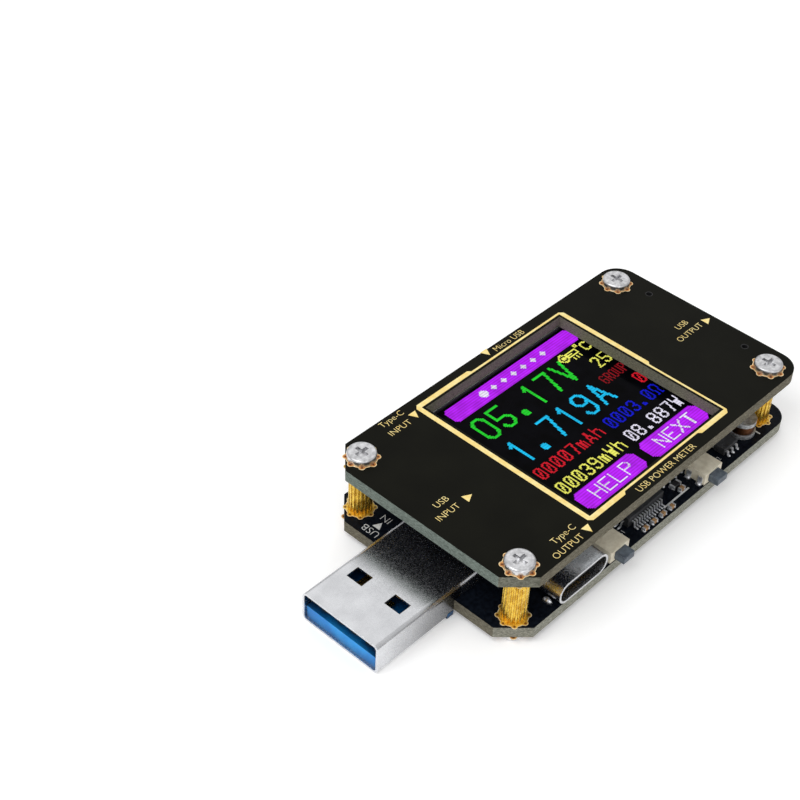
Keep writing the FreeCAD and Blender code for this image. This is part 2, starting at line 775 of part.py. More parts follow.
def type_c_port(name, along, facing_back):
    shell = port_body(f"{name}_shell", along, facing_back)
    width, height, sheet = "Sizes.type_c_width", "Sizes.type_c_height", "Sizes.shell_sheet"
    inner_width, inner_height = f"{width} - 2 * {sheet}", f"{height} - 2 * {sheet}"
    middle = f"{height} / 2"
    section = new_sketch(shell, "XZ_Plane")
    tube_section(section, middle, width, height, "Sizes.type_c_round", sheet)
    pad(shell, section, "Sizes.type_c_depth", backwards=True)

    tongue = port_body(f"{name}_tongue", along, facing_back)
    block = new_sketch(tongue, "XZ_Plane", "-(Sizes.type_c_depth - Sizes.type_c_block)")
    round_corner = f"Sizes.type_c_round - {sheet} - 0.02"
    rounded_rectangle(block, "0", middle, f"{inner_width} - 0.04", f"{inner_height} - 0.04", round_corner)
    pad(tongue, block, f"Sizes.type_c_block - {GAP}", backwards=True)
    plate = new_sketch(tongue, "XZ_Plane", "-Sizes.type_c_tongue_setback")
    rectangle(plate, "0", middle, "Sizes.type_c_tongue_width", "Sizes.type_c_tongue_thick")
    root = "Sizes.type_c_depth - Sizes.type_c_block / 2"
    pad(tongue, plate, f"{root} - Sizes.type_c_tongue_setback", backwards=True)

    contacts = port_body(f"{name}_contacts", along, facing_back)
    pin = new_sketch(contacts, "XZ_Plane", "-(Sizes.type_c_tongue_setback + Sizes.type_c_pin_setback)")
    pitch, count = 0.5, 12
    off_middle = "(Sizes.type_c_tongue_thick + Sizes.type_c_pin_thick) / 2"
    for level in (f"{middle} + {off_middle}", f"{middle} - {off_middle}"):
        first = f"{-pitch * (count - 1) / 2}"
        rectangle(pin, first, level, "Sizes.type_c_pin_width", "Sizes.type_c_pin_thick")
    pad(contacts, pin, "Sizes.type_c_pin_length", backwards=True)
    repeat(contacts, "X_Axis", f"{pitch * (count - 1)}", count)


def micro_outline(sketch, inset):
    """The micro port's mouth: square corners above, sloping ones below."""
    side = f"Sizes.micro_width / 2 - {inset}"
    foot = f"Sizes.micro_width / 2 - Sizes.micro_slope - {inset} / 2"
    low, knee, high = inset, f"Sizes.micro_slope + {inset} / 2", f"Sizes.micro_height - {inset}"
    right = [(foot, low), (side, knee), (side, high)]
    left = [(f"-({x})", y) for x, y in reversed(right)]
    outline(sketch, right + left)


def micro_port():
    name, along = "micro_usb", "Sizes.micro_from_plug_end"
    shell = port_body(f"{name}_shell", along, True)
    solid = new_sketch(shell, "XZ_Plane")
    micro_outline(solid, "0")
    pad(shell, solid, "Sizes.micro_depth", backwards=True)
    hollow = new_sketch(shell, "XZ_Plane")
    micro_outline(hollow, "Sizes.micro_sheet")
    pocket(shell, hollow)

    tongue = port_body(f"{name}_tongue", along, True)
    level, thick = "Sizes.micro_tongue_height", "Sizes.micro_tongue_thick"
    block = new_sketch(tongue, "XZ_Plane", "-(Sizes.micro_depth - Sizes.micro_block)")
    micro_outline(block, "(Sizes.micro_sheet + 0.03)")
    pad(tongue, block, f"Sizes.micro_block - {GAP}", backwards=True)
    plate = new_sketch(tongue, "XZ_Plane", "-Sizes.micro_tongue_setback")
    rectangle(plate, "0", level, "Sizes.micro_tongue_width", thick)
    pad(tongue, plate, "Sizes.micro_depth - Sizes.micro_block", backwards=True)

    contacts = port_body(f"{name}_contacts", along, True)
    pin = new_sketch(contacts, "XZ_Plane", "-(Sizes.micro_tongue_setback + 0.3)")
    pin_level = f"{level} - {thick} / 2 - Sizes.micro_pin_thick / 2"
    rectangle(pin, "-Sizes.micro_pin_row / 2", pin_level, "Sizes.micro_pin_width", "Sizes.micro_pin_thick")
    pad(contacts, pin, "Sizes.micro_pin_length", backwards=True)
    repeat(contacts, "X_Axis", "Sizes.micro_pin_row", 5)


# ---- keys ----------------------------------------------------------------------------


def key_body(name, along, facing_back):
    """A key part whose housing face is at y = 0, facing -Y, on the main board."""
    face = f"{HALF_WIDTH} - Sizes.key_inset"
    if facing_back:
        return new_body(name, along, face, BOARD_TOP, FACING_BACK)
    return new_body(name, along, f"-({face})", BOARD_TOP)


def key(name, along, facing_back):
    """A side-pressed key: a housing and the cap that slides in its front opening."""
    middle, gap, wall = "Sizes.key_height / 2", "Sizes.cap_gap", "Sizes.key_wall"
    housing = key_body(f"{name}_housing", along, facing_back)
    solid = new_sketch(housing)
    rectangle(solid, "0", "Sizes.key_depth / 2", "Sizes.key_length", "Sizes.key_depth")
    pad(housing, solid, "Sizes.key_height")
    opening = new_sketch(housing, "XZ_Plane")
    rectangle(opening, "0", middle, f"Sizes.cap_width + 2 * {gap}", f"Sizes.cap_height + 2 * {gap}")
    pocket(housing, opening, f"{wall} + {GAP}")
    chamber = new_sketch(housing, "XZ_Plane", f"-{wall}")
    rectangle(chamber, "0", middle, "Sizes.key_chamber", f"Sizes.cap_height + 2 * {gap}")
    pocket(housing, chamber, f"Sizes.key_depth - {wall} - Sizes.key_back_wall")

    cap = key_body(f"{name}_cap", along, facing_back)
    stem = new_sketch(cap, "XZ_Plane", "Sizes.cap_reach + Sizes.key_inset")
    rectangle(stem, "0", middle, "Sizes.cap_width", "Sizes.cap_height")
    pad(cap, stem, f"Sizes.cap_reach + Sizes.key_inset + {wall} + {gap}", backwards=True)
    outer = -value("Sizes.cap_reach + Sizes.key_inset")
    round_edges(cap, "Sizes.cap_round", X_AXIS, lambda point: point.y < outer + 0.1)
    flange = new_sketch(cap, "XZ_Plane", f"-({wall} + {gap})")
    rectangle(flange, "0", middle, "Sizes.cap_flange", "Sizes.cap_height")
    pad(cap, flange, "Sizes.cap_flange_thick", backwards=True)


KEY_ROW = "Sizes.key_second_from_plug_end - Sizes.key_first_from_plug_end"


def four_keys(body):
    """Repeat a piece of the first key for all four: along one edge, then across."""
    repeat(body, "X_Axis", KEY_ROW, 2)
    feature = body.newObject("PartDesign::Mirrored", f"{body.Label}_far_edge")
    feature.TransformMode = "Whole shape"
    feature.MirrorPlane = (origin_feature(body, "XZ_Plane"), [""])
    finish_feature(body, feature)


def key_domes():
    """The arched click springs, standing behind each cap."""
    body = new_body("key_domes", "Sizes.key_first_from_plug_end", "0", BOARD_TOP)
    face = f"Sizes.key_inset - {HALF_WIDTH}"
    crown = f"{face} + Sizes.key_wall + Sizes.cap_gap + Sizes.cap_flange_thick + Sizes.dome_gap"
    sketch = new_sketch(body, offset="(Sizes.key_height - Sizes.dome_height) / 2")
    foot, flat = "Sizes.dome_half_width", "Sizes.dome_half_width / 2"
    rise, thick = "Sizes.dome_rise", "Sizes.dome_thick"
    outside = [(flat, "0"), (foot, rise)]
    inside = [(f"{foot} - {thick}", f"{rise} + {thick}"), (f"{flat} - {thick} / 2", thick)]
    left_outside = [(f"-({x})", y) for x, y in reversed(outside)]
    left_inside = [(f"-({x})", y) for x, y in reversed(inside)]
    outline(sketch, [(x, f"{crown} + {y}") for x, y in left_outside + outside + inside + left_inside])
    pad(body, sketch, "Sizes.dome_height")
    four_keys(body)


def key_terminals():
    """L-shaped solder legs at both ends of each key housing."""
    body = new_body("key_terminals", "Sizes.key_first_from_plug_end", "0", BOARD_TOP)
    face = f"Sizes.key_inset - {HALF_WIDTH}"
    end, thick = "Sizes.key_length / 2", "Sizes.leg_thick"
    reach, top = f"{end} + Sizes.leg_reach", "Sizes.leg_height"
    sketch = new_sketch(body, "XZ_Plane", f"-({face}) - Sizes.leg_from_face")
    for sign in ("", "-"):
        leg = [(end, "0"), (reach, "0"), (reach, thick)]
        leg += [(f"{end} + {thick}", thick), (f"{end} + {thick}", top), (end, top)]
        outline(sketch, [(f"{sign}({x})", y) for x, y in leg])
    pad(body, sketch, "Sizes.leg_width", backwards=True)
    repeat(body, "Y_Axis", "Sizes.leg_spacing", 2)
    four_keys(body)


# ---- display -------------------------------------------------------------------------

LCD_INNER_LENGTH = "(Sizes.lcd_length - 2 * Sizes.lcd_rim)"
LCD_INNER_WIDTH = "(Sizes.lcd_width - 2 * Sizes.lcd_rim)"


def lcd_body(name, below_panel):
    """A layer of the display module, its lower face a given depth below the panel."""
    return new_body(name, "Sizes.lcd_from_plug_end", "Sizes.window_side", f"{PANEL_UNDER} - ({below_panel})")


def lcd_frame():
    body = lcd_body("lcd_frame", "Sizes.lcd_thick")
    tray = new_sketch(body)
    rectangle(tray, "0", "0", "Sizes.lcd_length", "Sizes.lcd_width")
    pad(body, tray, "Sizes.lcd_thick")
    cavity = new_sketch(body, offset="Sizes.lcd_floor")
    rectangle(cavity, "0", "0", LCD_INNER_LENGTH, LCD_INNER_WIDTH)
    pocket(body, cavity, backwards=True)
    slot = new_sketch(body, "YZ_Plane", "Sizes.lcd_length / 2")
    slot_height = "Sizes.lcd_thick - Sizes.lcd_recess - Sizes.glass_thick / 2"
    rectangle(slot, "0", slot_height, "Sizes.flex_width + 0.6", "Sizes.flex_thick + 0.5")
    pocket(body, slot, "Sizes.lcd_rim")


def lcd_layers():
    """The light guide on the tray's floor and the glass above it."""
    guide_thick = "Sizes.lcd_thick - Sizes.lcd_floor - Sizes.lcd_recess - Sizes.glass_thick"
    backlight = lcd_body("lcd_backlight", "Sizes.lcd_thick - Sizes.lcd_floor")
    sketch = new_sketch(backlight)
    clear = "2 * Sizes.guide_clear"
    rectangle(sketch, "0", "0", f"{LCD_INNER_LENGTH} - {clear}", f"{LCD_INNER_WIDTH} - {clear}")
    pad(backlight, sketch, guide_thick)
    glass = lcd_body("lcd_glass", "Sizes.lcd_recess + Sizes.glass_thick")
    sketch = new_sketch(glass)
    clear = "2 * Sizes.glass_clear"
    rectangle(sketch, "0", "0", f"{LCD_INNER_LENGTH} - {clear}", f"{LCD_INNER_WIDTH} - {clear}")
    pad(glass, sketch, "Sizes.glass_thick")


def bent_path(sketch, corners, radius):
    """An open path through the corners, each inner one rounded to a tangent arc."""
    points = [FreeCAD.Vector(value(x), value(y)) for x, y in corners]
    bend = value(radius)
    start = points[0]
    for before, corner, after in zip(points, points[1:], points[2:]):
        back = (before - corner).normalize()
        ahead = (after - corner).normalize()
        half = back.getAngle(ahead) / 2
        run = bend / math.tan(half)
        arc_start, arc_end = corner + back * run, corner + ahead * run
        crown = corner + (back + ahead).normalize() * (bend / math.sin(half) - bend)
        sketch.addGeometry(Part.LineSegment(start, arc_start), False)
        sketch.addGeometry(Part.Arc(arc_start, crown, arc_end), False)
        start = arc_end
    sketch.addGeometry(Part.LineSegment(start, points[-1]), False)


def lcd_flex():
    """The glass's tail: out of the frame's end, back under it and down to the board."""
    body = lcd_body("lcd_flex", "0")
    level = "-(Sizes.lcd_recess + Sizes.glass_thick / 2)"
    under = "-(Sizes.lcd_thick + Sizes.flex_clear)"
    on_board = "Sizes.flex_thick - Sizes.standoff_height"
    start = f"{LCD_INNER_LENGTH} / 2 - {GAP}"
    loop = "Sizes.lcd_length / 2 + Sizes.flex_loop"
    descent = "Sizes.flex_descent_from_plug_end - Sizes.lcd_from_plug_end"
    landing = f"{descent} - Sizes.flex_descent_run"
    corners = [(start, level), (loop, level), (loop, under), (descent, under), (landing, on_board)]
    corners.append((f"{landing} - Sizes.flex_foot", on_board))
    path = new_sketch(body, "XZ_Plane")
    bent_path(path, corners, "Sizes.flex_bend")
    section = new_sketch(body, "YZ_Plane", start)
    rectangle(section, "0", level, "Sizes.flex_width", "Sizes.flex_thick")
    DOC.recompute()
    pipe = body.newObject("PartDesign::AdditivePipe", "lcd_flex_sweep")
    pipe.Profile = section
    pipe.Spine = path
    finish_feature(body, pipe)


# ---- electronics on the main board ---------------------------------------------------


def board_item(name, along, side, above="0"):
    return new_body(name, f"{along}", f"{side}", f"{BOARD_TOP} + {above}")


def chip(name, place, size):
    """A moulded package with a dimple that marks its first lead."""
    length, width, height = size
    body = board_item(name, *place, "Sizes.chip_lift")
    sketch = new_sketch(body)
    rectangle(sketch, "0", "0", f"{length}", f"{width}")
    pad(body, sketch, f"{height}")
    round_edges(body, "Sizes.chip_round", X_AXIS, lambda middle: middle.z > height / 2)
    mark = new_sketch(body, offset=f"{height}")
    inset = "Sizes.chip_mark_inset"
    circle(mark, f"{inset} - {length} / 2", f"{inset} - {width} / 2", "Sizes.chip_mark")
    pocket(body, mark, "Sizes.chip_mark_depth")


def leads(name, place, body_width, lead):
    """Gull-wing leads that leave the package's sides and stand on the board."""
    pitch, width, count, sides, reach, exit_height = lead
    body = board_item(name, *place)
    thick, shift = "Sizes.lead_thick", "Sizes.lead_bend_shift"
    shoulder = f"{0.3 * reach}"
    walk = [("0", "0"), ("0", thick), (f"{shoulder} + {thick}", thick)]
    walk += [(f"{shoulder} + {thick} + {shift}", f"{thick} - {exit_height}")]
    walk += [(f"{reach}", f"{thick} - {exit_height}"), (f"{reach}", f"-{exit_height}")]
    walk += [(f"{shoulder} + {shift}", f"-{exit_height}"), (shoulder, "0")]
    row = pitch * (count - 1)
    sketch = new_sketch(body, "YZ_Plane", f"-({row} + {width}) / 2")
    outline(sketch, [(f"-({body_width} / 2 + {out})", f"{exit_height} + {rise}") for out, rise in walk])
    pad(body, sketch, f"{width}")
    repeat(body, "X_Axis", f"{row}", count)
    turn_about(body, "Z_Axis", sides)


def packages():
    for name, (place, size, lead) in PACKAGES.items():
        chip(f"{name}_chip", place, size)
        leads(f"{name}_leads", place, size[1], lead)


def power_inductor():
    """A drum core: two flanges, the waist between them and the wire wound on it."""
    place = ("Sizes.inductor_from_plug_end", "-Sizes.inductor_side")
    body = board_item("power_inductor", *place)
    flange, window = "Sizes.inductor_flange", "Sizes.inductor_window"
    for level, diameter, height in (
        ("0", "Sizes.inductor_base", flange),
        (flange, "Sizes.inductor_waist", window),
        (f"{flange} + {window}", "Sizes.inductor_top", flange),
    ):
        sketch = new_sketch(body, offset=level)
        circle(sketch, "0", "0", diameter)
        pad(body, sketch, height)
    winding = board_item("inductor_winding", *place, f"{flange} + Sizes.winding_gap")
    sketch = new_sketch(winding)
    circle(sketch, "0", "0", "Sizes.inductor_winding")
    circle(sketch, "0", "0", "Sizes.inductor_waist + Sizes.winding_gap")
    pad(winding, sketch, f"{window} - 2 * Sizes.winding_gap")


def crystal():
    body = board_item("crystal", "Sizes.crystal_from_plug_end", "-Sizes.crystal_side")
    sketch = new_sketch(body)
    rounded_rectangle(sketch, "0", "0", "Sizes.crystal_length", "Sizes.crystal_width", "Sizes.crystal_round")
    pad(body, sketch, "Sizes.crystal_height")


def two_ended_parts():
    """Small parts with a metal cap at each end; all the caps share one body."""
    terminals = board_item("chip_terminals", "0", "0")
    for name, (size, height, places) in TWO_ENDED.items():
        length, width, cap = size
        body = board_item(name, "0", "0")
        middles, ends = new_sketch(body), new_sketch(terminals)
        for along, side in places:
            rectangle(middles, f"{along}", f"{side}", f"{length - 2 * cap}", f"{width}")
            for sign in (-1, 1):
                rectangle(ends, f"{along + sign * (length - cap) / 2}", f"{side}", f"{cap}", f"{width}")
        pad(body, middles, f"{height}")
        pad(terminals, ends, f"{height}")


fill_sheet()
front_panel()
main_board()
standoffs()
screws("front_screws", PANEL_FACE, None)
screws("rear_screws", REAR_FACE, FACING_REAR)
plug_shell()
plug_insulator()
plug_contacts()
socket_shell()
socket_housing()
socket_contacts()
type_c_port("type_c_out", "Sizes.type_c_from_plug_end", False)
type_c_port("type_c_in", "Sizes.type_c_from_plug_end", True)
micro_port()
key("next_key", "Sizes.key_second_from_plug_end", False)
key("help_key", "Sizes.key_first_from_plug_end", False)
key("rotate_key", "Sizes.key_first_from_plug_end", True)
key("group_key", "Sizes.key_second_from_plug_end", True)
key_domes()
key_terminals()
lcd_frame()
lcd_layers()
lcd_flex()
packages()
power_inductor()
crystal()
two_ended_parts()

DOC.recompute()
for item in DOC.Objects:
    if "Invalid" in item.State or "Error" in item.State:
        raise RuntimeError(f"{item.Label} did not build")
os.makedirs("parts", exist_ok=True)
for node in NODES:
    if node.Shape.isNull() or not node.Shape.isValid():
        raise RuntimeError(f"{node.Label} has no valid shape")
    node.Shape.exportStep(f"parts/{node.Label}.step")
    print(node.Label, len(node.Shape.Solids), round(node.Shape.Volume, 3))
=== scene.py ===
"""Looks of the USB power meter: materials, panel artwork, display picture, solder, light and camera.

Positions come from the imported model. Lengths are in millimetres until a mesh is made.
"""

import json
import math
import random

import bmesh
import bpy
from mathutils import Matrix, Vector


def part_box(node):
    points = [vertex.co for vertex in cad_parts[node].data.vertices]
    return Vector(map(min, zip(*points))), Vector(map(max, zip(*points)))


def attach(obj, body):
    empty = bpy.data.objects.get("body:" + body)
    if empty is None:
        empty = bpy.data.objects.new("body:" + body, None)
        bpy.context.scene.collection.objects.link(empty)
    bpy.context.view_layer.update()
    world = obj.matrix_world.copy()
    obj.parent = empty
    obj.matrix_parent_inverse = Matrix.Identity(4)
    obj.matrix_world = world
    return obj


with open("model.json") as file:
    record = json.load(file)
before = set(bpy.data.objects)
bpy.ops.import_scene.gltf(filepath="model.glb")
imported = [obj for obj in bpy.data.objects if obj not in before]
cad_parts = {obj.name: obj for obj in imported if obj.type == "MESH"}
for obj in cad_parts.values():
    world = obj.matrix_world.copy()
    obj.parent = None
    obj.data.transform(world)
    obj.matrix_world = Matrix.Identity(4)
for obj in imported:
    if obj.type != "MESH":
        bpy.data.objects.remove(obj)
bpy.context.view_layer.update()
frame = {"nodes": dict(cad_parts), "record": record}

MM = 0.001
BODY = "meter"
DICE = random.Random(7)


# ---------------------------------------------------------------- places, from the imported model

def box_of(node):
    """Lowest and highest corner of a CAD node, in millimetres."""
    low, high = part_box(node)
    return low / MM, high / MM


PANEL_LOW, PANEL_HIGH = box_of("front_panel")
BOARD_LOW, BOARD_HIGH = box_of("main_board")
GLASS_LOW, GLASS_HIGH = box_of("lcd_glass")
FRONT_HEADS_LOW, FRONT_HEADS_HIGH = box_of("front_screws")
HEAD_RADIUS = 1.85    # of the pan heads in the two screw nodes
SCREW_X = (FRONT_HEADS_LOW.x + HEAD_RADIUS, FRONT_HEADS_HIGH.x - HEAD_RADIUS)
SCREW_Y = (FRONT_HEADS_LOW.y + HEAD_RADIUS, FRONT_HEADS_HIGH.y - HEAD_RADIUS)
SCREWS = [(x, y) for x in SCREW_X for y in SCREW_Y]

# The glass starts under the panel just left of its window, and is a little narrower than it.
WINDOW_LENGTH, GLASS_LEFT_OVERLAP, GLASS_SIDE_GAP = 26.0, 0.2, 0.05
WINDOW_LEFT = GLASS_LOW.x + GLASS_LEFT_OVERLAP
WINDOW_RIGHT = WINDOW_LEFT + WINDOW_LENGTH
WINDOW_BOTTOM = GLASS_LOW.y - GLASS_SIDE_GAP
WINDOW_TOP = GLASS_HIGH.y + GLASS_SIDE_GAP

INK = 0.02            # height of printed artwork above its board
PAD_INK = 0.03        # height of the metal round the screws


# ---------------------------------------------------------------- solids from outlines and paths

def finish_piece(name, work, material):
    """Turns a bmesh in millimetres into a piece that rides on the meter."""
    bmesh.ops.recalc_face_normals(work, faces=work.faces)
    bmesh.ops.scale(work, vec=(MM, MM, MM), verts=work.verts)
    mesh = bpy.data.meshes.new(name)
    work.to_mesh(mesh)
    work.free()
    return place_mesh(name, mesh, material)


def place_mesh(name, mesh, material):
    """Hangs a mesh on the meter's body with its material."""
    mesh.materials.clear()
    mesh.materials.append(material)
    piece = bpy.data.objects.new(name, mesh)
    bpy.context.scene.collection.objects.link(piece)
    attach(piece, BODY)
    return piece


def add_plate(work, loops, bottom, height):
    """A flat solid: the first loop is its outline and the others are holes through it."""
    edges = []
    for loop in loops:
        corners = [work.verts.new((x, y, bottom)) for x, y in loop]
        for start, end in zip(corners, corners[1:] + corners[:1]):
            edges.append(work.edges.new((start, end)))
    cover = bmesh.ops.triangle_fill(work, use_beauty=True, edges=edges)
    faces = [item for item in cover["geom"] if isinstance(item, bmesh.types.BMFace)]
    raised = bmesh.ops.extrude_face_region(work, geom=faces, use_keep_orig=True)
    tops = [item for item in raised["geom"] if isinstance(item, bmesh.types.BMVert)]
    bmesh.ops.translate(work, vec=(0, 0, height), verts=tops)


def plates(name, shapes, bottom, height, material):
    """One piece of flat solids that share a level; each shape is a list of loops."""
    work = bmesh.new()
    for loops in shapes:
        add_plate(work, loops, bottom, height)
    return finish_piece(name, work, material)


def ring_points(x, y, radius, count=32):
    """Points on a circle; radius is a number or a function of the angle."""
    points = []
    for step in range(count):
        angle = math.tau * step / count
        reach = radius(angle) if callable(radius) else radius
        points.append((x + reach * math.cos(angle), y + reach * math.sin(angle)))
    return points


def rectangle(left, right, bottom, top):
    """Corners of a rectangle, anticlockwise."""
    return [(left, bottom), (right, bottom), (right, top), (left, top)]


def chamfered(left, right, bottom, top, cut):
    """A rectangle with its corners cut at 45 degrees."""
    return [(left + cut, bottom), (right - cut, bottom), (right, bottom + cut), (right, top - cut),
            (right - cut, top), (left + cut, top), (left, top - cut), (left, bottom + cut)]


def add_dome(work, centre, half_x, half_y, height, rings=3, count=12):
    """A flattened drop of solder, standing on its centre."""
    x, y, z = centre
    under = [work.verts.new((x + half_x * math.cos(math.tau * k / count),
                             y + half_y * math.sin(math.tau * k / count), z)) for k in range(count)]
    work.faces.new(list(reversed(under)))
    last = under
    for ring in range(1, rings):
        rise = math.pi / 2 * ring / rings
        now = []
        for k in range(count):
            turn = math.tau * k / count
            now.append(work.verts.new((x + half_x * math.cos(rise) * math.cos(turn),
                                       y + half_y * math.cos(rise) * math.sin(turn),
                                       z + height * math.sin(rise))))
        for k in range(count):
            after = (k + 1) % count
            work.faces.new((last[k], last[after], now[after], now[k]))
        last = now
    tip = work.verts.new((x, y, z + height))
    for k in range(count):
        work.faces.new((last[k], last[(k + 1) % count], tip))


def smooth(piece):
    """Shades a piece as a curved surface."""
    for polygon in piece.data.polygons:
        polygon.use_smooth = True


# ---------------------------------------------------------------- shader helpers

def linear(red, green, blue):
    """Linear colour from 0 to 255 picker values."""
    def channel(level):
        part = level / 255
        return part / 12.92 if part <= 0.04045 else ((part + 0.055) / 1.055) ** 2.4
    return (channel(red), channel(green), channel(blue), 1)


def add(tree, kind, inputs=None, **settings):
    """Adds a shader node; an input is a number, a colour or another node's output."""
    made = tree.nodes.new("ShaderNode" + kind)
    for key, setting in settings.items():
        setattr(made, key, setting)
    for key, source in (inputs or {}).items():
        if isinstance(source, bpy.types.NodeSocket):
            tree.links.new(source, made.inputs[key])
        else:
            made.inputs[key].default_value = source
    return made


def new_material(name):
    """A new material, its node tree and its shader."""
    material = bpy.data.materials.new(name)
    material.use_nodes = True
    return material, material.node_tree, material.node_tree.nodes["Principled BSDF"]


def noise(tree, size, detail=3.0, stretch=(1, 1, 1)):
    """Noise with patches about size millimetres wide; stretch above 1 makes them narrower."""
    place = add(tree, "TexCoord").outputs["Object"]
    scale = [factor / MM for factor in stretch]
    mapped = add(tree, "Mapping", {"Vector": place, "Scale": scale}).outputs["Vector"]
    return add(tree, "TexNoise", {"Vector": mapped, "Scale": 1 / size, "Detail": detail}).outputs["Fac"]


def spread(tree, source, low, high, start=0.35, end=0.65):
    """Maps the middle of a noise on to low to high."""
    return add(tree, "MapRange", {"Value": source, "From Min": start, "From Max": end,
                                  "To Min": low, "To Max": high}).outputs["Result"]


def mix(tree, amount, first, second):
    """The first colour where amount is 0 and the second where it is 1."""
    return add(tree, "MixRGB", {"Fac": amount, "Color1": first, "Color2": second}).outputs["Color"]


def calculate(tree, operation, first, second):
    return add(tree, "Math", {0: first, 1: second}, operation=operation).outputs["Value"]


def absolute(tree, source):
    return calculate(tree, "ABSOLUTE", source, 0)


def within(tree, source, low, high):
    """1 where a place in metres lies between low and high millimetres, else 0."""
    above = calculate(tree, "GREATER_THAN", source, low * MM)
    return calculate(tree, "MULTIPLY", above, calculate(tree, "LESS_THAN", source, high * MM))


def rounded_normal(tree, radius):
    """Surface direction with edges softened over radius millimetres."""
    return add(tree, "Bevel", {"Radius": radius * MM}, samples=4).outputs["Normal"]


def edge_mask(tree, radius):
    """Nearly 1 along edges and 0 on flat faces, for wear."""
    rounded = rounded_normal(tree, radius)
    flat = add(tree, "NewGeometry").outputs["Normal"]
    same = add(tree, "VectorMath", {0: rounded, 1: flat}, operation="DOT_PRODUCT").outputs["Value"]
    return spread(tree, same, 1, 0, 0.75, 0.99)


def surface(name, dark, light, rough, patch=0.8, grain=0.06, depth=0.004, metallic=0.0,
            stretch=(1, 1, 1), worn=None, rounding=0.05, specular=0.5):
    """A material whose colour, roughness and relief all vary, with softened and worn edges."""
    material, tree, shader = new_material(name)
    colour = mix(tree, spread(tree, noise(tree, patch, stretch=stretch), 0, 1), dark, light)
    if worn:
        worn_amount = calculate(tree, "MULTIPLY", edge_mask(tree, rounding * 2),
                                spread(tree, noise(tree, patch / 2), 0.2, 0.9))
        colour = mix(tree, worn_amount, colour, worn)
    roughness = spread(tree, noise(tree, grain * 4, stretch=stretch), rough[0], rough[1])
    relief = add(tree, "Bump", {"Height": noise(tree, grain, stretch=stretch), "Distance": depth * MM,
                                "Strength": 0.6, "Normal": rounded_normal(tree, rounding)})
    tree.links.new(colour, shader.inputs["Base Color"])
    tree.links.new(roughness, shader.inputs["Roughness"])
    tree.links.new(relief.outputs["Normal"], shader.inputs["Normal"])
    shader.inputs["Metallic"].default_value = metallic
    shader.inputs["Specular IOR Level"].default_value = specular
    return material


# ---------------------------------------------------------------- materials of the CAD slots

def solder_mask():
    """Black lacquer on the board faces and bare glass-fibre laminate on the cut edges."""
    material, tree, shader = new_material("solder_mask")
    normal = add(tree, "SeparateXYZ", {0: add(tree, "NewGeometry").outputs["Normal"]})
    place = add(tree, "SeparateXYZ", {0: add(tree, "TexCoord").outputs["Object"]})
    on_face = calculate(tree, "GREATER_THAN", absolute(tree, normal.outputs["Z"]), 0.5)
    skin = 0.1
    between = within(tree, place.outputs["Z"], BOARD_LOW.z + skin, PANEL_HIGH.z - skin)
    outer = mix(tree, spread(tree, noise(tree, 6.0), 0, 1), linear(17, 17, 12), linear(21, 21, 15))
    inner = mix(tree, spread(tree, noise(tree, 0.5), 0, 1), linear(8, 11, 18), linear(20, 25, 34))
    face = mix(tree, between, outer, inner)
    tree.links.new(mix(tree, on_face, laminate(tree, normal, place), face), shader.inputs["Base Color"])
    face_rough = spread(tree, noise(tree, 4.0), 0.28, 0.32)
    tree.links.new(mix(tree, on_face, (0.85, 0.85, 0.85, 1), face_rough), shader.inputs["Roughness"])
    height = mix(tree, on_face, noise(tree, 0.1, stretch=(1, 1, 3)), noise(tree, 2.0, 1.0))
    relief = add(tree, "Bump", {"Height": height, "Distance": 0.004 * MM, "Strength": 0.4,
                                "Normal": rounded_normal(tree, 0.06)})
    tree.links.new(relief.outputs["Normal"], shader.inputs["Normal"])
    shader.inputs["Specular IOR Level"].default_value = 0.04
    return material


def laminate(tree, normal, place):
    """Cut edge of a board: fibres along it, greener on the panel's ends, dark inside its holes."""
    fibre = spread(tree, noise(tree, 0.35, stretch=(1, 1, 4)), 0, 1)
    speck = spread(tree, noise(tree, 0.12), 0, 1)
    low_board = calculate(tree, "LESS_THAN", place.outputs["Z"], (BOARD_HIGH.z + 1) * MM)
    sideways = absolute(tree, normal.outputs["Y"])
    green = mix(tree, fibre, linear(88, 98, 92), linear(138, 150, 142))
    brown = mix(tree, fibre, linear(88, 84, 72), linear(138, 132, 116))
    pale = mix(tree, fibre, linear(122, 122, 110), linear(178, 178, 166))
    edge = mix(tree, calculate(tree, "MAXIMUM", sideways, low_board), green, brown)
    edge = mix(tree, calculate(tree, "MULTIPLY", sideways, low_board), edge, pale)
    edge = mix(tree, calculate(tree, "MULTIPLY", speck, 0.4), edge, linear(66, 66, 58))
    plug_end_inset, inset = 4.0, 1.0
    along = within(tree, place.outputs["X"], PANEL_LOW.x + plug_end_inset, PANEL_HIGH.x - inset)
    across = within(tree, place.outputs["Y"], PANEL_LOW.y + inset, PANEL_HIGH.y - inset)
    inside = calculate(tree, "MULTIPLY", along, across)
    wall = mix(tree, fibre, linear(92, 92, 78), linear(138, 136, 116))
    return mix(tree, inside, edge, wall)


def screw_steel():
    """Zinc plate with scuffs that cross in every direction."""
    return surface("screw_steel", linear(188, 188, 190), linear(228, 228, 230), (0.28, 0.42), patch=0.5,
                   grain=0.1, depth=0.004, metallic=1.0, worn=linear(250, 250, 250), rounding=0.06)


def knurled_brass():
    return surface("knurled_brass", linear(198, 150, 36), linear(246, 208, 84), (0.2, 0.3), patch=0.7,
                   grain=0.05, depth=0.002, metallic=0.85, worn=linear(255, 240, 176), rounding=0.05)


def colour_input(material):
    """A material's nodes, its colour input, and the output that feeds it."""
    tree = material.node_tree
    base = tree.nodes["Principled BSDF"].inputs["Base Color"]
    return tree, base, base.links[0].from_socket


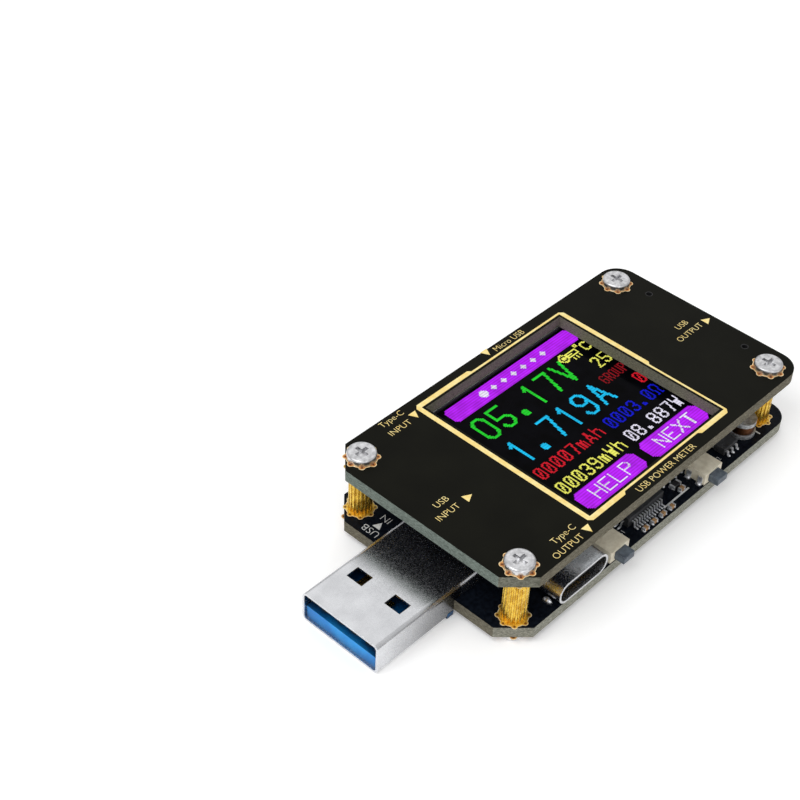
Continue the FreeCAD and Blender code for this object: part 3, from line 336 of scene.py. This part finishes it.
def blue_moulding():
    """Blue plastic with painted shade: darker in the hollows where the steel shells close over it."""
    material = surface("blue_moulding", linear(0, 122, 204), linear(20, 150, 228), (0.34, 0.46), patch=3.0,
                       grain=0.08, depth=0.003, worn=linear(90, 176, 230), rounding=0.08, specular=0.3)
    tree, base, colour = colour_input(material)
    # Painted shade: ambient occlusion mixes a dark blue into the hollows under the shells.
    shade_openness = add(tree, "AmbientOcclusion", {"Distance": 3.5 * MM}, samples=8).outputs["AO"]
    tree.links.new(mix(tree, spread(tree, shade_openness, 0, 1, 0.4, 0.8), linear(0, 40, 76), colour), base)
    return material


def black_moulding():
    return surface("black_moulding", linear(16, 16, 18), linear(30, 30, 32), (0.5, 0.7), depth=0.005,
                   worn=linear(70, 70, 72))


def gold_contact():
    return surface("gold_contact", linear(214, 160, 60), linear(252, 214, 120), (0.18, 0.32), patch=0.4,
                   grain=0.04, depth=0.002, metallic=1.0, worn=linear(255, 240, 190), rounding=0.03)


def key_moulding():
    return surface("key_moulding", linear(214, 204, 180), linear(236, 228, 206), (0.45, 0.6), patch=0.9,
                   depth=0.005, worn=linear(250, 244, 228))


def key_cap():
    return surface("key_cap", linear(66, 74, 84), linear(92, 102, 112), (0.48, 0.62), patch=0.6,
                   depth=0.005, worn=linear(130, 140, 150))


def spring_steel():
    return surface("spring_steel", linear(160, 160, 164), linear(208, 208, 212), (0.2, 0.34), metallic=1.0,
                   stretch=(1, 4, 1), worn=linear(236, 236, 240))


def tinned_copper():
    return surface("tinned_copper", linear(204, 206, 210), linear(240, 242, 245), (0.3, 0.5), patch=0.3,
                   grain=0.05, depth=0.004, metallic=0.85, worn=linear(250, 250, 252), rounding=0.03)


def lcd_moulding():
    return surface("lcd_moulding", linear(206, 210, 212), linear(236, 238, 238), (0.45, 0.6), patch=2.0,
                   depth=0.004, worn=linear(250, 250, 250))


def light_guide():
    return surface("light_guide", linear(214, 222, 230), linear(240, 244, 250), (0.12, 0.22), patch=1.5,
                   grain=0.2, depth=0.002)


def display_glass():
    return surface("display_glass", linear(1, 1, 2), linear(5, 5, 9), (0.16, 0.22), patch=2.0, grain=0.3,
                   depth=0.0005, specular=0.02)


def flex_film():
    """Amber film with the dark tracks that run along it."""
    material, tree, shader = new_material("flex_film")
    place = add(tree, "TexCoord").outputs["Object"]
    along_y = add(tree, "SeparateXYZ", {0: place}).outputs["Y"]
    tracks = calculate(tree, "SINE", calculate(tree, "MULTIPLY", along_y, math.tau / (0.8 * MM)), 0)
    film = mix(tree, spread(tree, noise(tree, 1.0), 0, 1), linear(176, 104, 24), linear(214, 142, 52))
    colour = mix(tree, spread(tree, tracks, 0, 0.6, 0.2, 0.5), film, linear(120, 66, 14))
    relief = add(tree, "Bump", {"Height": tracks, "Distance": 0.01 * MM, "Strength": 0.5})
    tree.links.new(colour, shader.inputs["Base Color"])
    tree.links.new(spread(tree, noise(tree, 0.4), 0.3, 0.45), shader.inputs["Roughness"])
    tree.links.new(relief.outputs["Normal"], shader.inputs["Normal"])
    return material


def chip_epoxy():
    return surface("chip_epoxy", linear(30, 31, 34), linear(50, 51, 54), (0.55, 0.72), patch=1.2, grain=0.05,
                   depth=0.008, worn=linear(86, 86, 88))


def ferrite():
    return surface("ferrite", linear(140, 142, 144), linear(196, 198, 200), (0.36, 0.5), patch=0.3,
                   grain=0.08, depth=0.008, metallic=0.6, worn=linear(226, 226, 228))


def copper_wire():
    return surface("copper_wire", linear(74, 46, 30), linear(118, 78, 52), (0.3, 0.42), patch=0.6,
                   grain=0.16, depth=0.03, metallic=1.0, stretch=(0.2, 0.2, 1), rounding=0.03)


def crystal_can():
    return surface("crystal_can", linear(186, 184, 174), linear(222, 220, 210), (0.2, 0.34), metallic=1.0,
                   stretch=(1, 5, 1), worn=linear(240, 238, 230))


def capacitor_body():
    return surface("capacitor_body", linear(150, 112, 72), linear(190, 150, 104), (0.4, 0.55), patch=0.4,
                   depth=0.006, worn=linear(208, 176, 136))


def resistor_body():
    return surface("resistor_body", linear(20, 20, 22), linear(38, 38, 40), (0.3, 0.5), patch=0.5,
                   depth=0.006, worn=linear(150, 150, 148))


def shell_steel():
    """Stamped sheet: fine scratches, bright worn edges, and painted shade that darkens the plug's sides
    towards the boards.
    """
    material = surface("shell_steel", linear(205, 206, 209), linear(218, 219, 222), (0.2, 0.3), patch=2.5,
                       grain=0.05, depth=0.0016, metallic=1.0, worn=linear(240, 240, 240), rounding=0.06)
    tree, base, colour = colour_input(material)
    along = add(tree, "SeparateXYZ", {0: add(tree, "TexCoord").outputs["Object"]}).outputs["X"]
    normal = add(tree, "SeparateXYZ", {0: add(tree, "NewGeometry").outputs["Normal"]})
    # Painted shade: grainy dark grey on the plug's sides, growing towards the boards.
    end, fade_length, darkest_shade = PANEL_LOW.x, 10, 0.95
    shade_fade = spread(tree, along, 0, darkest_shade, (end - 1 - fade_length) * MM, (end - 1) * MM)
    on_side = calculate(tree, "GREATER_THAN", absolute(tree, normal.outputs["Y"]), 0.7)
    on_plug = calculate(tree, "LESS_THAN", along, (end + 1) * MM)
    speck = spread(tree, noise(tree, 0.15), 0.6, 1.0)
    painted_shade = calculate(tree, "MULTIPLY", calculate(tree, "MULTIPLY", shade_fade, speck),
                     calculate(tree, "MULTIPLY", on_side, on_plug))
    tree.links.new(mix(tree, painted_shade, colour, linear(56, 56, 58)), base)
    return material


FINISHES = {make.__name__: make for make in (
    solder_mask, knurled_brass, screw_steel, shell_steel, blue_moulding, black_moulding, gold_contact,
    key_moulding, key_cap, spring_steel, tinned_copper, lcd_moulding, light_guide, display_glass,
    flex_film, chip_epoxy, ferrite, copper_wire, crystal_can, capacitor_body, resistor_body)}


def dress_cad_nodes():
    """Gives every CAD node the material of its slot, and returns the materials by slot."""
    made = {slot: make() for slot, make in FINISHES.items()}
    for row in frame["record"]["subparts"]:
        for place in frame["nodes"][row["node"]].material_slots:
            place.material = made[row["material_slot"]]
    return made


# ---------------------------------------------------------------- materials of the artwork

def printed_gold():
    return surface("printed_gold", linear(250, 218, 128), linear(255, 236, 164), (0.4, 0.52), patch=0.8,
                   grain=0.1, depth=0.004, rounding=0.02)


def pad_gold():
    return surface("pad_gold", linear(190, 120, 54), linear(226, 158, 84), (0.3, 0.45), patch=0.5,
                   grain=0.08, depth=0.004, metallic=0.35, rounding=0.02)


def inner_pad_gold():
    return surface("inner_pad_gold", linear(204, 156, 44), linear(250, 214, 96), (0.3, 0.44), patch=0.5,
                   grain=0.08, depth=0.006, metallic=0.6, rounding=0.03)


def pad_rim_gold():
    return surface("pad_rim_gold", linear(250, 214, 150), linear(255, 238, 196), (0.3, 0.4), patch=0.5,
                   metallic=0.2, rounding=0.02)


def via_plug():
    return surface("via_plug", linear(96, 48, 14), linear(140, 80, 30), (0.4, 0.6), patch=0.2,
                   metallic=0.3, rounding=0.02)


def silkscreen():
    return surface("silkscreen", linear(206, 208, 206), linear(240, 240, 238), (0.6, 0.75), patch=0.3,
                   grain=0.05, depth=0.005, rounding=0.02)


def solder():
    return surface("solder", linear(196, 198, 202), linear(240, 242, 245), (0.2, 0.38), patch=0.3,
                   grain=0.12, depth=0.01, metallic=0.9, rounding=0.05)


def lit_pixels(name, colour):
    """Display picture: light cut into the fine grid of the panel's pixels."""
    material, tree, shader = new_material(name)
    place = add(tree, "TexCoord").outputs["Object"]
    row = add(tree, "SeparateXYZ", {0: place}).outputs["Y"]
    wave = calculate(tree, "SINE", calculate(tree, "MULTIPLY", row, math.tau / (2 * PIXEL_ACROSS * MM)), 0)
    uneven = spread(tree, noise(tree, 1.4), 0.85, 1.1)
    level = calculate(tree, "MULTIPLY", spread(tree, wave, 0.72, 1.0, -1, 0.4), uneven)
    tree.links.new(level, shader.inputs["Emission Strength"])
    shader.inputs["Emission Color"].default_value = colour
    shader.inputs["Base Color"].default_value = linear(5, 5, 8)
    shader.inputs["Roughness"].default_value = 0.3
    shader.inputs["Specular IOR Level"].default_value = 0.02
    return material


# ---------------------------------------------------------------- panel artwork

def window_outline(margin):
    return rectangle(WINDOW_LEFT - margin, WINDOW_RIGHT + margin, WINDOW_BOTTOM - margin, WINDOW_TOP + margin)


def window_border(material):
    """The gold line round the window: broad and narrow stretches joined by short slopes."""
    gap, narrow, broad, cut = 0.36, 0.67, 1.06, 0.5
    slope = broad - narrow
    # The stretches change at these shares of the window's length and width.
    middle = WINDOW_LEFT + 0.21 * WINDOW_LENGTH
    late = WINDOW_LEFT + 0.8 * WINDOW_LENGTH
    top_step = WINDOW_LEFT + 0.34 * WINDOW_LENGTH
    side_step = WINDOW_BOTTOM + 0.46 * (WINDOW_TOP - WINDOW_BOTTOM)
    left, right = WINDOW_LEFT - broad, WINDOW_RIGHT + broad
    bottom, top = WINDOW_BOTTOM - broad, WINDOW_TOP + broad
    outline = [
        (left + cut, bottom), (middle, bottom), (middle + slope, bottom + slope),
        (late - slope, bottom + slope), (late, bottom), (right - slope - cut, bottom),
        (right - slope, bottom + cut), (right - slope, side_step - slope), (right, side_step),
        (right, top - slope - cut), (right - cut, top - slope), (top_step + slope, top - slope),
        (top_step, top), (left + cut, top), (left, top - cut), (left, bottom + cut)]
    plates("window_border", [[outline, window_outline(gap)]], PANEL_HIGH.z, INK, material)


def flower(angle):
    """Reach of a screw pad's edge: a circle with eight round lobes."""
    lobes, lobe_radius, lobe_reach, core = 8, 0.42, 1.9, 1.98
    turn = (angle + math.pi / lobes) % (math.tau / lobes) - math.pi / lobes
    aside = lobe_reach * math.sin(turn)
    if abs(aside) >= lobe_radius:
        return core
    return max(core, lobe_reach * math.cos(turn) + math.sqrt(lobe_radius ** 2 - aside ** 2))


def screw_pads(which, levels, size, fill, rim, plug):
    """Metal flowers round the screws; a level is a board face and whether it looks up."""
    hole, rim_width, raised, points = 1.12, 0.09, 0.01, 128
    via_count, via_radius, via_reach = 8, 0.15, 1.96
    pads, rims, vias = bmesh.new(), bmesh.new(), bmesh.new()
    for face, looks_up in levels:
        pad_level = face if looks_up else face - PAD_INK
        rim_level = face if looks_up else face - PAD_INK - raised
        for x, y in SCREWS:
            outer = ring_points(x, y, lambda angle: size * flower(angle), points)
            inner = ring_points(x, y, lambda angle: size * flower(angle) - rim_width, points)
            add_plate(pads, [inner, ring_points(x, y, hole)], pad_level, PAD_INK)
            add_plate(rims, [outer, inner], rim_level, PAD_INK + raised)
            for step in range(via_count):
                angle, reach = math.tau * step / via_count, size * via_reach
                spot_x, spot_y = x + reach * math.cos(angle), y + reach * math.sin(angle)
                add_plate(vias, [ring_points(spot_x, spot_y, via_radius, 12)], rim_level, PAD_INK + raised)
    finish_piece(which + "_pads", pads, fill)
    finish_piece(which + "_pad_rims", rims, rim)
    finish_piece(which + "_pad_vias", vias, plug)


def display_gasket(material):
    """Black foam rim on the glass that fills the gap up to the panel's underside."""
    back, wide, narrow, hidden = 0.08, 0.15, 0.1, 0.6
    left, right = GLASS_LOW.x + back, GLASS_HIGH.x - back
    bottom, top = GLASS_LOW.y + back, GLASS_HIGH.y - back
    opening = rectangle(left + narrow, WINDOW_RIGHT + hidden, bottom + wide, top - wide)
    shape = [rectangle(left, right, bottom, top), opening]
    plates("display_gasket", [shape], GLASS_HIGH.z, PANEL_LOW.z - GLASS_HIGH.z, material)


def hole_shade_sleeves(material):
    """Black sleeves and bottom discs in the panel's two small holes by the socket end: painted shade that
    makes the holes read dark.
    """
    reach, aside, radius, wall = 2.3, 7.75, 0.5, 0.08
    x, low = PANEL_HIGH.x - reach, PANEL_LOW.z
    shapes = [[ring_points(x, y, radius), ring_points(x, y, radius - wall)] for y in (-aside, aside)]
    plates("hole_shade_sleeves", shapes, low, PANEL_HIGH.z - low, material)
    # Painted shade: black discs close the holes from below.
    plates("hole_shade_discs", [[shape[0]] for shape in shapes], low, wall, material)


def lettering(name, words, centre, height, material, turn=0):
    """A printed word; height is a capital's height and turn is in degrees about +Z."""
    capital, thinner = 0.73, 0.022
    curve = bpy.data.curves.new(name, "FONT")
    curve.body = words
    curve.size = height / capital
    curve.offset = -thinner
    curve.align_x = "CENTER"
    curve.align_y = "CENTER"
    curve.extrude = INK / 2
    curve.resolution_u = 3
    writing = bpy.data.objects.new(name + "_curve", curve)
    bpy.context.scene.collection.objects.link(writing)
    bpy.context.view_layer.update()
    mesh = bpy.data.meshes.new_from_object(writing.evaluated_get(bpy.context.evaluated_depsgraph_get()))
    bpy.data.objects.remove(writing)
    place = Matrix.Translation(centre) @ Matrix.Translation((0, 0, INK / 2))
    mesh.transform(Matrix.Scale(MM, 4) @ place @ Matrix.Rotation(math.radians(turn), 4, "Z"))
    work = bmesh.new()
    work.from_mesh(mesh)
    bmesh.ops.remove_doubles(work, verts=work.verts, dist=1e-7)
    work.to_mesh(mesh)
    work.free()
    place_mesh(name, mesh, material)


def pointer(x, y, toward, size=1.25):
    """A triangle that points along +X or -Y."""
    half, reach = size / 2, size * 0.48
    if toward == "+X":
        return [(x - reach, y - half), (x + reach, y), (x - reach, y + half)]
    return [(x - half, y + reach), (x, y - reach), (x + half, y + reach)]


def panel_lettering(material):
    """Generic port labels and arrows on the front panel."""
    start, end = PANEL_LOW.x, PANEL_HIGH.x
    level = PANEL_HIGH.z
    capital_height = 0.95
    # Each row is a piece's name, its words, and the place of their middle.
    rows = (
        ("label_plug_usb", "USB", start + 4.16, 0.49),
        ("label_plug_in", "INPUT", start + 3.5, -1.2),
        ("label_socket_usb", "USB", end - 4.63, 0.64),
        ("label_socket_out", "OUTPUT", end - 5.1, -1.05),
        ("label_c_in", "Type-C", start + 10.5, 14.45),
        ("label_c_in_word", "INPUT", start + 10.1, 12.6),
        ("label_c_out", "Type-C", start + 10.3, -12.75),
        ("label_c_out_word", "OUTPUT", start + 9.2, -14.4),
        ("label_micro", "Micro USB", start + 32.45, 14.4),
        ("label_name", "USB POWER METER", start + 27.75, -14.4),
    )
    for name, words, x, y in rows:
        lettering(name, words, (x, y, level), capital_height, material)
    pointers = [
        pointer(start + 7.12, -1.13, "+X"), pointer(end - 1.3, -1.08, "+X"),
        pointer(start + 13.1, 12.95, "-Y"), pointer(start + 28.5, 14.75, "-Y"),
        pointer(start + 13.0, -14.25, "-Y")]
    plates("label_pointers", [[loop] for loop in pointers], level, INK, material)


def board_printing(material):
    """White print on the main board, seen through the gap."""
    start, end = BOARD_LOW.x, BOARD_HIGH.x
    level = BOARD_HIGH.z
    # Each row is a piece's name, its words, the place of their middle, their height and their turn.
    rows = (
        ("print_usb", "USB", start + 1.15, 8.6, 1.1, 90),
        ("print_in", "IN", start + 3.9, 8.6, 1.1, 90),
        ("print_key_1", "S1", start + 22.6, -13.0, 0.7, 0),
        ("print_key_2", "S2", start + 41.8, -13.6, 0.7, 0),
        ("print_chip_1", "U1", start + 22.0, -4.3, 0.7, 0),
        ("print_chip_2", "U2", start + 38.6, -9.0, 0.7, 0),
    )
    for name, words, x, y, height, turn in rows:
        lettering(name, words, (x, y, level), height, material, turn)
    cut = 0.05
    bars = [
        chamfered(start + 29.7, start + 34.9, -14.15, -13.9, cut),
        chamfered(start + 49.7, start + 49.9, -14.6, -9.2, cut),
        chamfered(end - 9.6, end - 9.4, 8.2, 14.4, cut),
        pointer(start + 2.5, 8.5, "+X", 1.2)]
    plates("print_lines", [[loop] for loop in bars], level, INK, material)


# ---------------------------------------------------------------- display picture

# The display has 128 columns and 128 rows of its own pixels, counted from its top left.
PIXEL_ALONG, PIXEL_ACROSS = 0.193, 0.19
SCREEN_LEFT = GLASS_LOW.x + 2.2
SCREEN_TOP = GLASS_HIGH.y - 0.45
SCREEN_LIFT = 0.015

# Strokes of a pen on a grid 4 wide and 6 high; each point is its column and its row from below.
# The letter z is a slashed zero, and o is an ohm sign.
LETTERS = {
    "0": "10 01 05 16 36 45 41 30 10", "1": "15 26 20", "2": "05 16 36 45 44 00 40",
    "3": "05 16 36 45 44 33 23 / 33 42 41 30 10 01", "5": "46 06 03 33 42 41 30 10 01",
    "7": "06 46 20", "8": "13 04 05 16 36 45 44 33 13 02 01 10 30 41 42 33",
    "9": "01 10 30 41 45 36 16 05 04 13 33 44", ".": "10 20 21 11 10", "V": "06 20 46",
    "A": "00 26 40 / 12 32", "m": "00 04 / 03 14 23 20 / 23 34 43 40", "h": "00 06 / 03 14 34 43 40",
    "W": "06 10 24 30 46", "o": "00 10 12 03 05 16 36 45 43 32 30 40", "C": "45 36 16 05 01 10 30 41",
    "G": "45 36 16 05 01 10 30 41 43 23", "R": "00 06 36 45 44 33 03 / 23 40",
    "O": "10 01 05 16 36 45 41 30 10", "U": "06 01 10 30 41 46", "P": "00 06 36 45 44 33 03",
    "H": "00 06 / 40 46 / 03 43", "E": "46 06 00 40 / 03 33", "L": "06 00 40", "N": "00 06 40 46",
    "X": "00 46 / 06 40", "T": "06 46 / 26 20", "z": "10 01 05 16 36 45 41 30 10 / 11 35",
}


def near_line(start, end, reach):
    """Pixels whose centres lie within reach of a straight stroke."""
    pixels = set()
    columns = range(int(min(start[0], end[0]) - reach) - 1, int(max(start[0], end[0]) + reach) + 2)
    rows = range(int(min(start[1], end[1]) - reach) - 1, int(max(start[1], end[1]) + reach) + 2)
    along = Vector((end[0] - start[0], end[1] - start[1]))
    for column in columns:
        for row in rows:
            place = Vector((column + 0.5 - start[0], row + 0.5 - start[1]))
            share = place.dot(along) / along.length_squared if along.length_squared else 0
            if (place - along * min(1, max(0, share))).length <= reach:
                pixels.add((column, row))
    return pixels


def written(text, left, top, width, height, advance, pen):
    """Pixels of a line of text on the display."""
    pixels = set()
    for index, letter in enumerate(text):
        for stroke in LETTERS[letter].split(" / "):
            points = []
            for mark in stroke.split():
                across, up = int(mark[0]) / 4, int(mark[1]) / 6
                points.append((left + index * advance + pen / 2 + across * (width - pen),
                               top + height - pen / 2 - up * (height - pen)))
            for start, end in zip(points, points[1:]):
                pixels |= near_line(start, end, pen / 2)
    return pixels


def filled(left, right, top, bottom, cut=0):
    """Pixels of a bar whose corners are cut by cut pixels."""
    pixels = set()
    for column in range(left, right):
        for row in range(top, bottom):
            across = min(column - left, right - 1 - column)
            down = min(row - top, bottom - 1 - row)
            if across + down >= cut:
                pixels.add((column, row))
    return pixels


def disc(column, row, radius):
    """Pixels of a round spot."""
    reach = math.ceil(radius)
    return {(int(column) + i, int(row) + j) for i in range(-reach, reach + 1)
            for j in range(-reach, reach + 1) if math.hypot(i, j) <= radius}


def thermometer():
    """A lying thermometer: round bulb, hollow stem and three marks."""
    bulb = disc(101, 21, 4.2) - disc(101, 21, 3.0) | disc(101, 21, 1.5)
    stem = filled(105, 115, 19, 20) | filled(105, 115, 23, 24) | filled(114, 115, 19, 24)
    column = filled(102, 110, 21, 22)
    marks = filled(107, 108, 25, 28) | filled(110, 111, 25, 28) | filled(113, 114, 25, 28)
    return bulb | stem | column | marks


def show_pixels(name, pixels, material):
    """Raises a set of display pixels into one thin closed solid on the glass."""
    work = bmesh.new()
    level = {0: GLASS_HIGH.z, 1: GLASS_HIGH.z + SCREEN_LIFT}
    corners = {}

    def corner(column, row, high):
        key = (column, row, high)
        if key not in corners:
            x, y = SCREEN_LEFT + column * PIXEL_ALONG, SCREEN_TOP - row * PIXEL_ACROSS
            corners[key] = work.verts.new((x, y, level[high]))
        return corners[key]

    sides = (((0, 0), (1, 0), (0, -1)), ((1, 0), (1, 1), (1, 0)), ((1, 1), (0, 1), (0, 1)),
             ((0, 1), (0, 0), (-1, 0)))
    for column, row in sorted(pixels):
        around = [(column, row), (column + 1, row), (column + 1, row + 1), (column, row + 1)]
        work.faces.new([corner(c, r, 1) for c, r in reversed(around)])
        work.faces.new([corner(c, r, 0) for c, r in around])
        for start, end, step in sides:
            if (column + step[0], row + step[1]) not in pixels:
                first = (column + start[0], row + start[1])
                second = (column + end[0], row + end[1])
                wall = [corner(*first, 1), corner(*second, 1), corner(*second, 0), corner(*first, 0)]
                work.faces.new(wall)
    finish_piece(name, work, material)


def display_picture():
    """The readings a meter shows: page bar, voltage, current, charge, energy and two soft keys."""
    # Each style is a letter's width, height, advance and pen.
    tall, small, tiny, word = (12, 22, 16, 2.3), (6, 11, 8, 1.1), (4, 9, 5, 1.1), (8, 11, 10, 1.3)
    short = (6, 9, 8, 1.1)
    page_dots = disc(35, 7, 3.6)
    for step in range(6):
        page_dots |= disc(45 + 10 * step, 7, 2)
    white = page_dots | written("HELP", 13, 113, *word) | written("NEXT", 79, 113, *word)
    white |= written("z8.887W", 70, 96, *small)
    bars = filled(2, 127, 1, 15, 2) | filled(1, 60, 110, 127, 3) | filled(67, 126, 110, 127, 3)
    degree = disc(117, 17, 1.5) - disc(117, 17, 0.5)
    yellow = written("zzz39mWh", 1, 96, *small) | written("25", 112, 34, *small) | thermometer()
    yellow |= degree | written("C", 120, 18, *short)
    red = written("zzzz7mAh", 1, 78, *small) | written("z", 120, 64, *small)
    pictures = (
        ("screen_bars", bars - white, "lit_purple", (188, 38, 250)),
        ("screen_white", white, "lit_white", (236, 232, 250)),
        ("screen_volts", written("05.17V", 5, 20, *tall), "lit_green", (38, 214, 48)),
        ("screen_amps", written("1.719A", 5, 50, *tall), "lit_cyan", (28, 196, 246)),
        ("screen_red", red, "lit_red", (214, 28, 44)),
        ("screen_group", written("GROUP", 102, 50, *tiny), "lit_dim_red", (140, 20, 28)),
        ("screen_ohms", written("zzz3.zo", 70, 79, *small), "lit_blue", (16, 24, 200)),
        ("screen_yellow", yellow, "lit_yellow", (240, 240, 104)),
    )
    for name, pixels, glow, colour in pictures:
        show_pixels(name, pixels, lit_pixels(glow, linear(*colour)))


# ---------------------------------------------------------------- solder

def solids_in(node):
    """Box of each separate solid of a CAD node, in millimetres."""
    work = bmesh.new()
    work.from_mesh(frame["nodes"][node].data)
    bmesh.ops.remove_doubles(work, verts=work.verts, dist=1e-6)
    waiting = set(work.verts)
    boxes = []
    while waiting:
        start = min(waiting, key=lambda vert: vert.index)
        group, queue = {start}, [start]
        while queue:
            for edge in queue.pop().link_edges:
                for vert in edge.verts:
                    if vert not in group:
                        group.add(vert)
                        queue.append(vert)
        waiting -= group
        places = [vert.co / MM for vert in group]
        boxes.append((Vector(map(min, *places)), Vector(map(max, *places))))
    work.free()
    return sorted(boxes, key=lambda corners: (round(corners[0].x, 3), round(corners[0].y, 3)))


def solder_joints(material):
    """A drop of solder at the foot of every lead, leg and end cap on the main board."""
    toe, toe_half, toe_height, beside, around = 0.2, 0.34, 0.2, 0.05, 0.13
    work = bmesh.new()
    level = BOARD_HIGH.z
    for node in ("controller_leads", "sense_leads", "switch_leads", "regulator_leads"):
        low, high = box_of(node)
        centre = (low + high) / 2
        for foot_low, foot_high in solids_in(node):
            middle = (foot_low + foot_high) / 2
            long_x = foot_high.x - foot_low.x > foot_high.y - foot_low.y
            half = min(foot_high.x - foot_low.x, foot_high.y - foot_low.y) / 2 + beside
            if long_x:
                x = foot_high.x - toe if middle.x > centre.x else foot_low.x + toe
                add_dome(work, (x, middle.y, level), toe_half, half, toe_height)
            else:
                y = foot_high.y - toe if middle.y > centre.y else foot_low.y + toe
                add_dome(work, (middle.x, y, level), half, toe_half, toe_height)
    for node, height in (("chip_terminals", 0.3), ("key_terminals", 0.42)):
        for foot_low, foot_high in solids_in(node):
            middle = (foot_low + foot_high) / 2
            half = (foot_high - foot_low) / 2
            size = height * DICE.uniform(0.85, 1.1)
            add_dome(work, (middle.x, middle.y, level), half.x + around, half.y + around, size)
    smooth(finish_piece("solder_joints", work, material))


def shell_joints(material):
    """Larger drops that hold the port shells to the main board."""
    stations, aside, half_x, half_y, height = (1.6, 5.2), 0.1, 0.42, 0.7, 0.62
    work = bmesh.new()
    level = BOARD_HIGH.z
    for node in ("type_c_out_shell", "type_c_in_shell", "micro_usb_shell"):
        low, high = box_of(node)
        inward = 1 if low.y < 0 else -1
        mouth = low.y if low.y < 0 else high.y
        for side, x in ((-1, low.x), (1, high.x)):
            for back in stations:
                y = mouth + inward * back
                if low.y < y < high.y:
                    size = height * DICE.uniform(0.9, 1.1)
                    add_dome(work, (x + side * aside, y, level), half_x, half_y, size)
    smooth(finish_piece("shell_joints", work, material))


# ---------------------------------------------------------------- stage

def floor():
    """A wide pale floor under the rest plane."""
    half, below = 900, 0.02
    work = bmesh.new()
    work.faces.new([work.verts.new((x, y, -below)) for x, y in rectangle(-half, half, -half, half)])
    bmesh.ops.scale(work, vec=(MM, MM, MM), verts=work.verts)
    mesh = bpy.data.meshes.new("floor")
    work.to_mesh(mesh)
    work.free()
    paper = surface("floor", linear(250, 250, 250), linear(253, 253, 253), (0.7, 0.8), patch=40, grain=4,
                    depth=0.01, specular=0.1)
    glow = paper.node_tree.nodes["Principled BSDF"].inputs
    glow["Emission Color"].default_value = (1, 1, 1, 1)
    glow["Emission Strength"].default_value = 0.2
    mesh.materials.append(paper)
    ground = bpy.data.objects.new("floor", mesh)
    bpy.context.scene.collection.objects.link(ground)


def direction(azimuth, elevation):
    """Unit vector away from the meter; azimuth turns from -Y towards +X."""
    turn, rise = math.radians(azimuth), math.radians(elevation)
    return Vector((math.sin(turn) * math.cos(rise), -math.cos(turn) * math.cos(rise), math.sin(rise)))


def lamp(name, azimuth, elevation, distance, size, power):
    """A square soft light aimed at the meter; the angles say where it hangs."""
    away = direction(azimuth, elevation)
    light = bpy.data.lights.new(name, "AREA")
    light.size = size * MM
    light.energy = power
    hung = bpy.data.objects.new(name, light)
    hung.location = away * distance * MM
    hung.rotation_mode = "QUATERNION"
    hung.rotation_quaternion = (-away).to_track_quat("-Z", "Y")
    bpy.context.scene.collection.objects.link(hung)


def sky():
    """Even studio light, brighter overhead than at the horizon."""
    world = bpy.data.worlds.new("studio")
    world.use_nodes = True
    bpy.context.scene.world = world
    tree = world.node_tree
    way = add(tree, "TexCoord").outputs["Generated"]
    up = add(tree, "SeparateXYZ", {0: way}).outputs["Z"]
    colour = mix(tree, spread(tree, up, 0, 1, 0.0, 0.8), (0.62, 0.62, 0.62, 1), (1.0, 1.0, 1.0, 1))
    tree.links.new(colour, tree.nodes["Background"].inputs["Color"])
    tree.nodes["Background"].inputs["Strength"].default_value = 0.72


def camera():
    """Looks down from the plug's left; the meter sits low and to the right in the picture."""
    azimuth, elevation, roll = -48.46, 41.0, 2.84
    distance, lens, sensor = 223.95, 75.5, 36
    aim = Vector((1.37, 24.5, 0))
    away = direction(azimuth, elevation)
    eye = bpy.data.cameras.new("camera")
    eye.lens = lens
    eye.sensor_width = sensor
    eye.clip_start = 10 * MM
    eye.clip_end = 3000 * MM
    stand = bpy.data.objects.new("camera", eye)
    stand.location = (aim + away * distance) * MM
    stand.rotation_mode = "QUATERNION"
    look = (-away).to_track_quat("-Z", "Y")
    stand.rotation_quaternion = look @ Matrix.Rotation(math.radians(roll), 3, "Z").to_quaternion()
    bpy.context.scene.collection.objects.link(stand)
    bpy.context.scene.camera = stand


def stage():
    """Floor, light and camera; a lamp's numbers are its two angles, distance, size and power."""
    floor()
    sky()
    lamp("key_light", -100, 55, 420, 260, 0.62)
    lamp("back_light", 130, 48, 420, 300, 0.1)
    lamp("front_light", -20, 30, 420, 200, 0.16)
    camera()
    bpy.context.scene.view_settings.view_transform = "Standard"


# ---------------------------------------------------------------- putting it together

cad_materials = dress_cad_nodes()
gold = printed_gold()
white_print = silkscreen()
bright_solder = solder()
window_border(gold)
rim_gold = pad_rim_gold()
hole_brown = via_plug()
outer_faces = ((PANEL_HIGH.z, True), (BOARD_LOW.z, False))
inner_faces = ((PANEL_LOW.z, False), (BOARD_HIGH.z, True))
screw_pads("outer", outer_faces, 1.0, pad_gold(), rim_gold, hole_brown)
screw_pads("inner", inner_faces, 0.93, inner_pad_gold(), rim_gold, hole_brown)
display_gasket(cad_materials["black_moulding"])
hole_shade_sleeves(cad_materials["black_moulding"])
panel_lettering(gold)
board_printing(white_print)
display_picture()
solder_joints(bright_solder)
shell_joints(bright_solder)
stage()
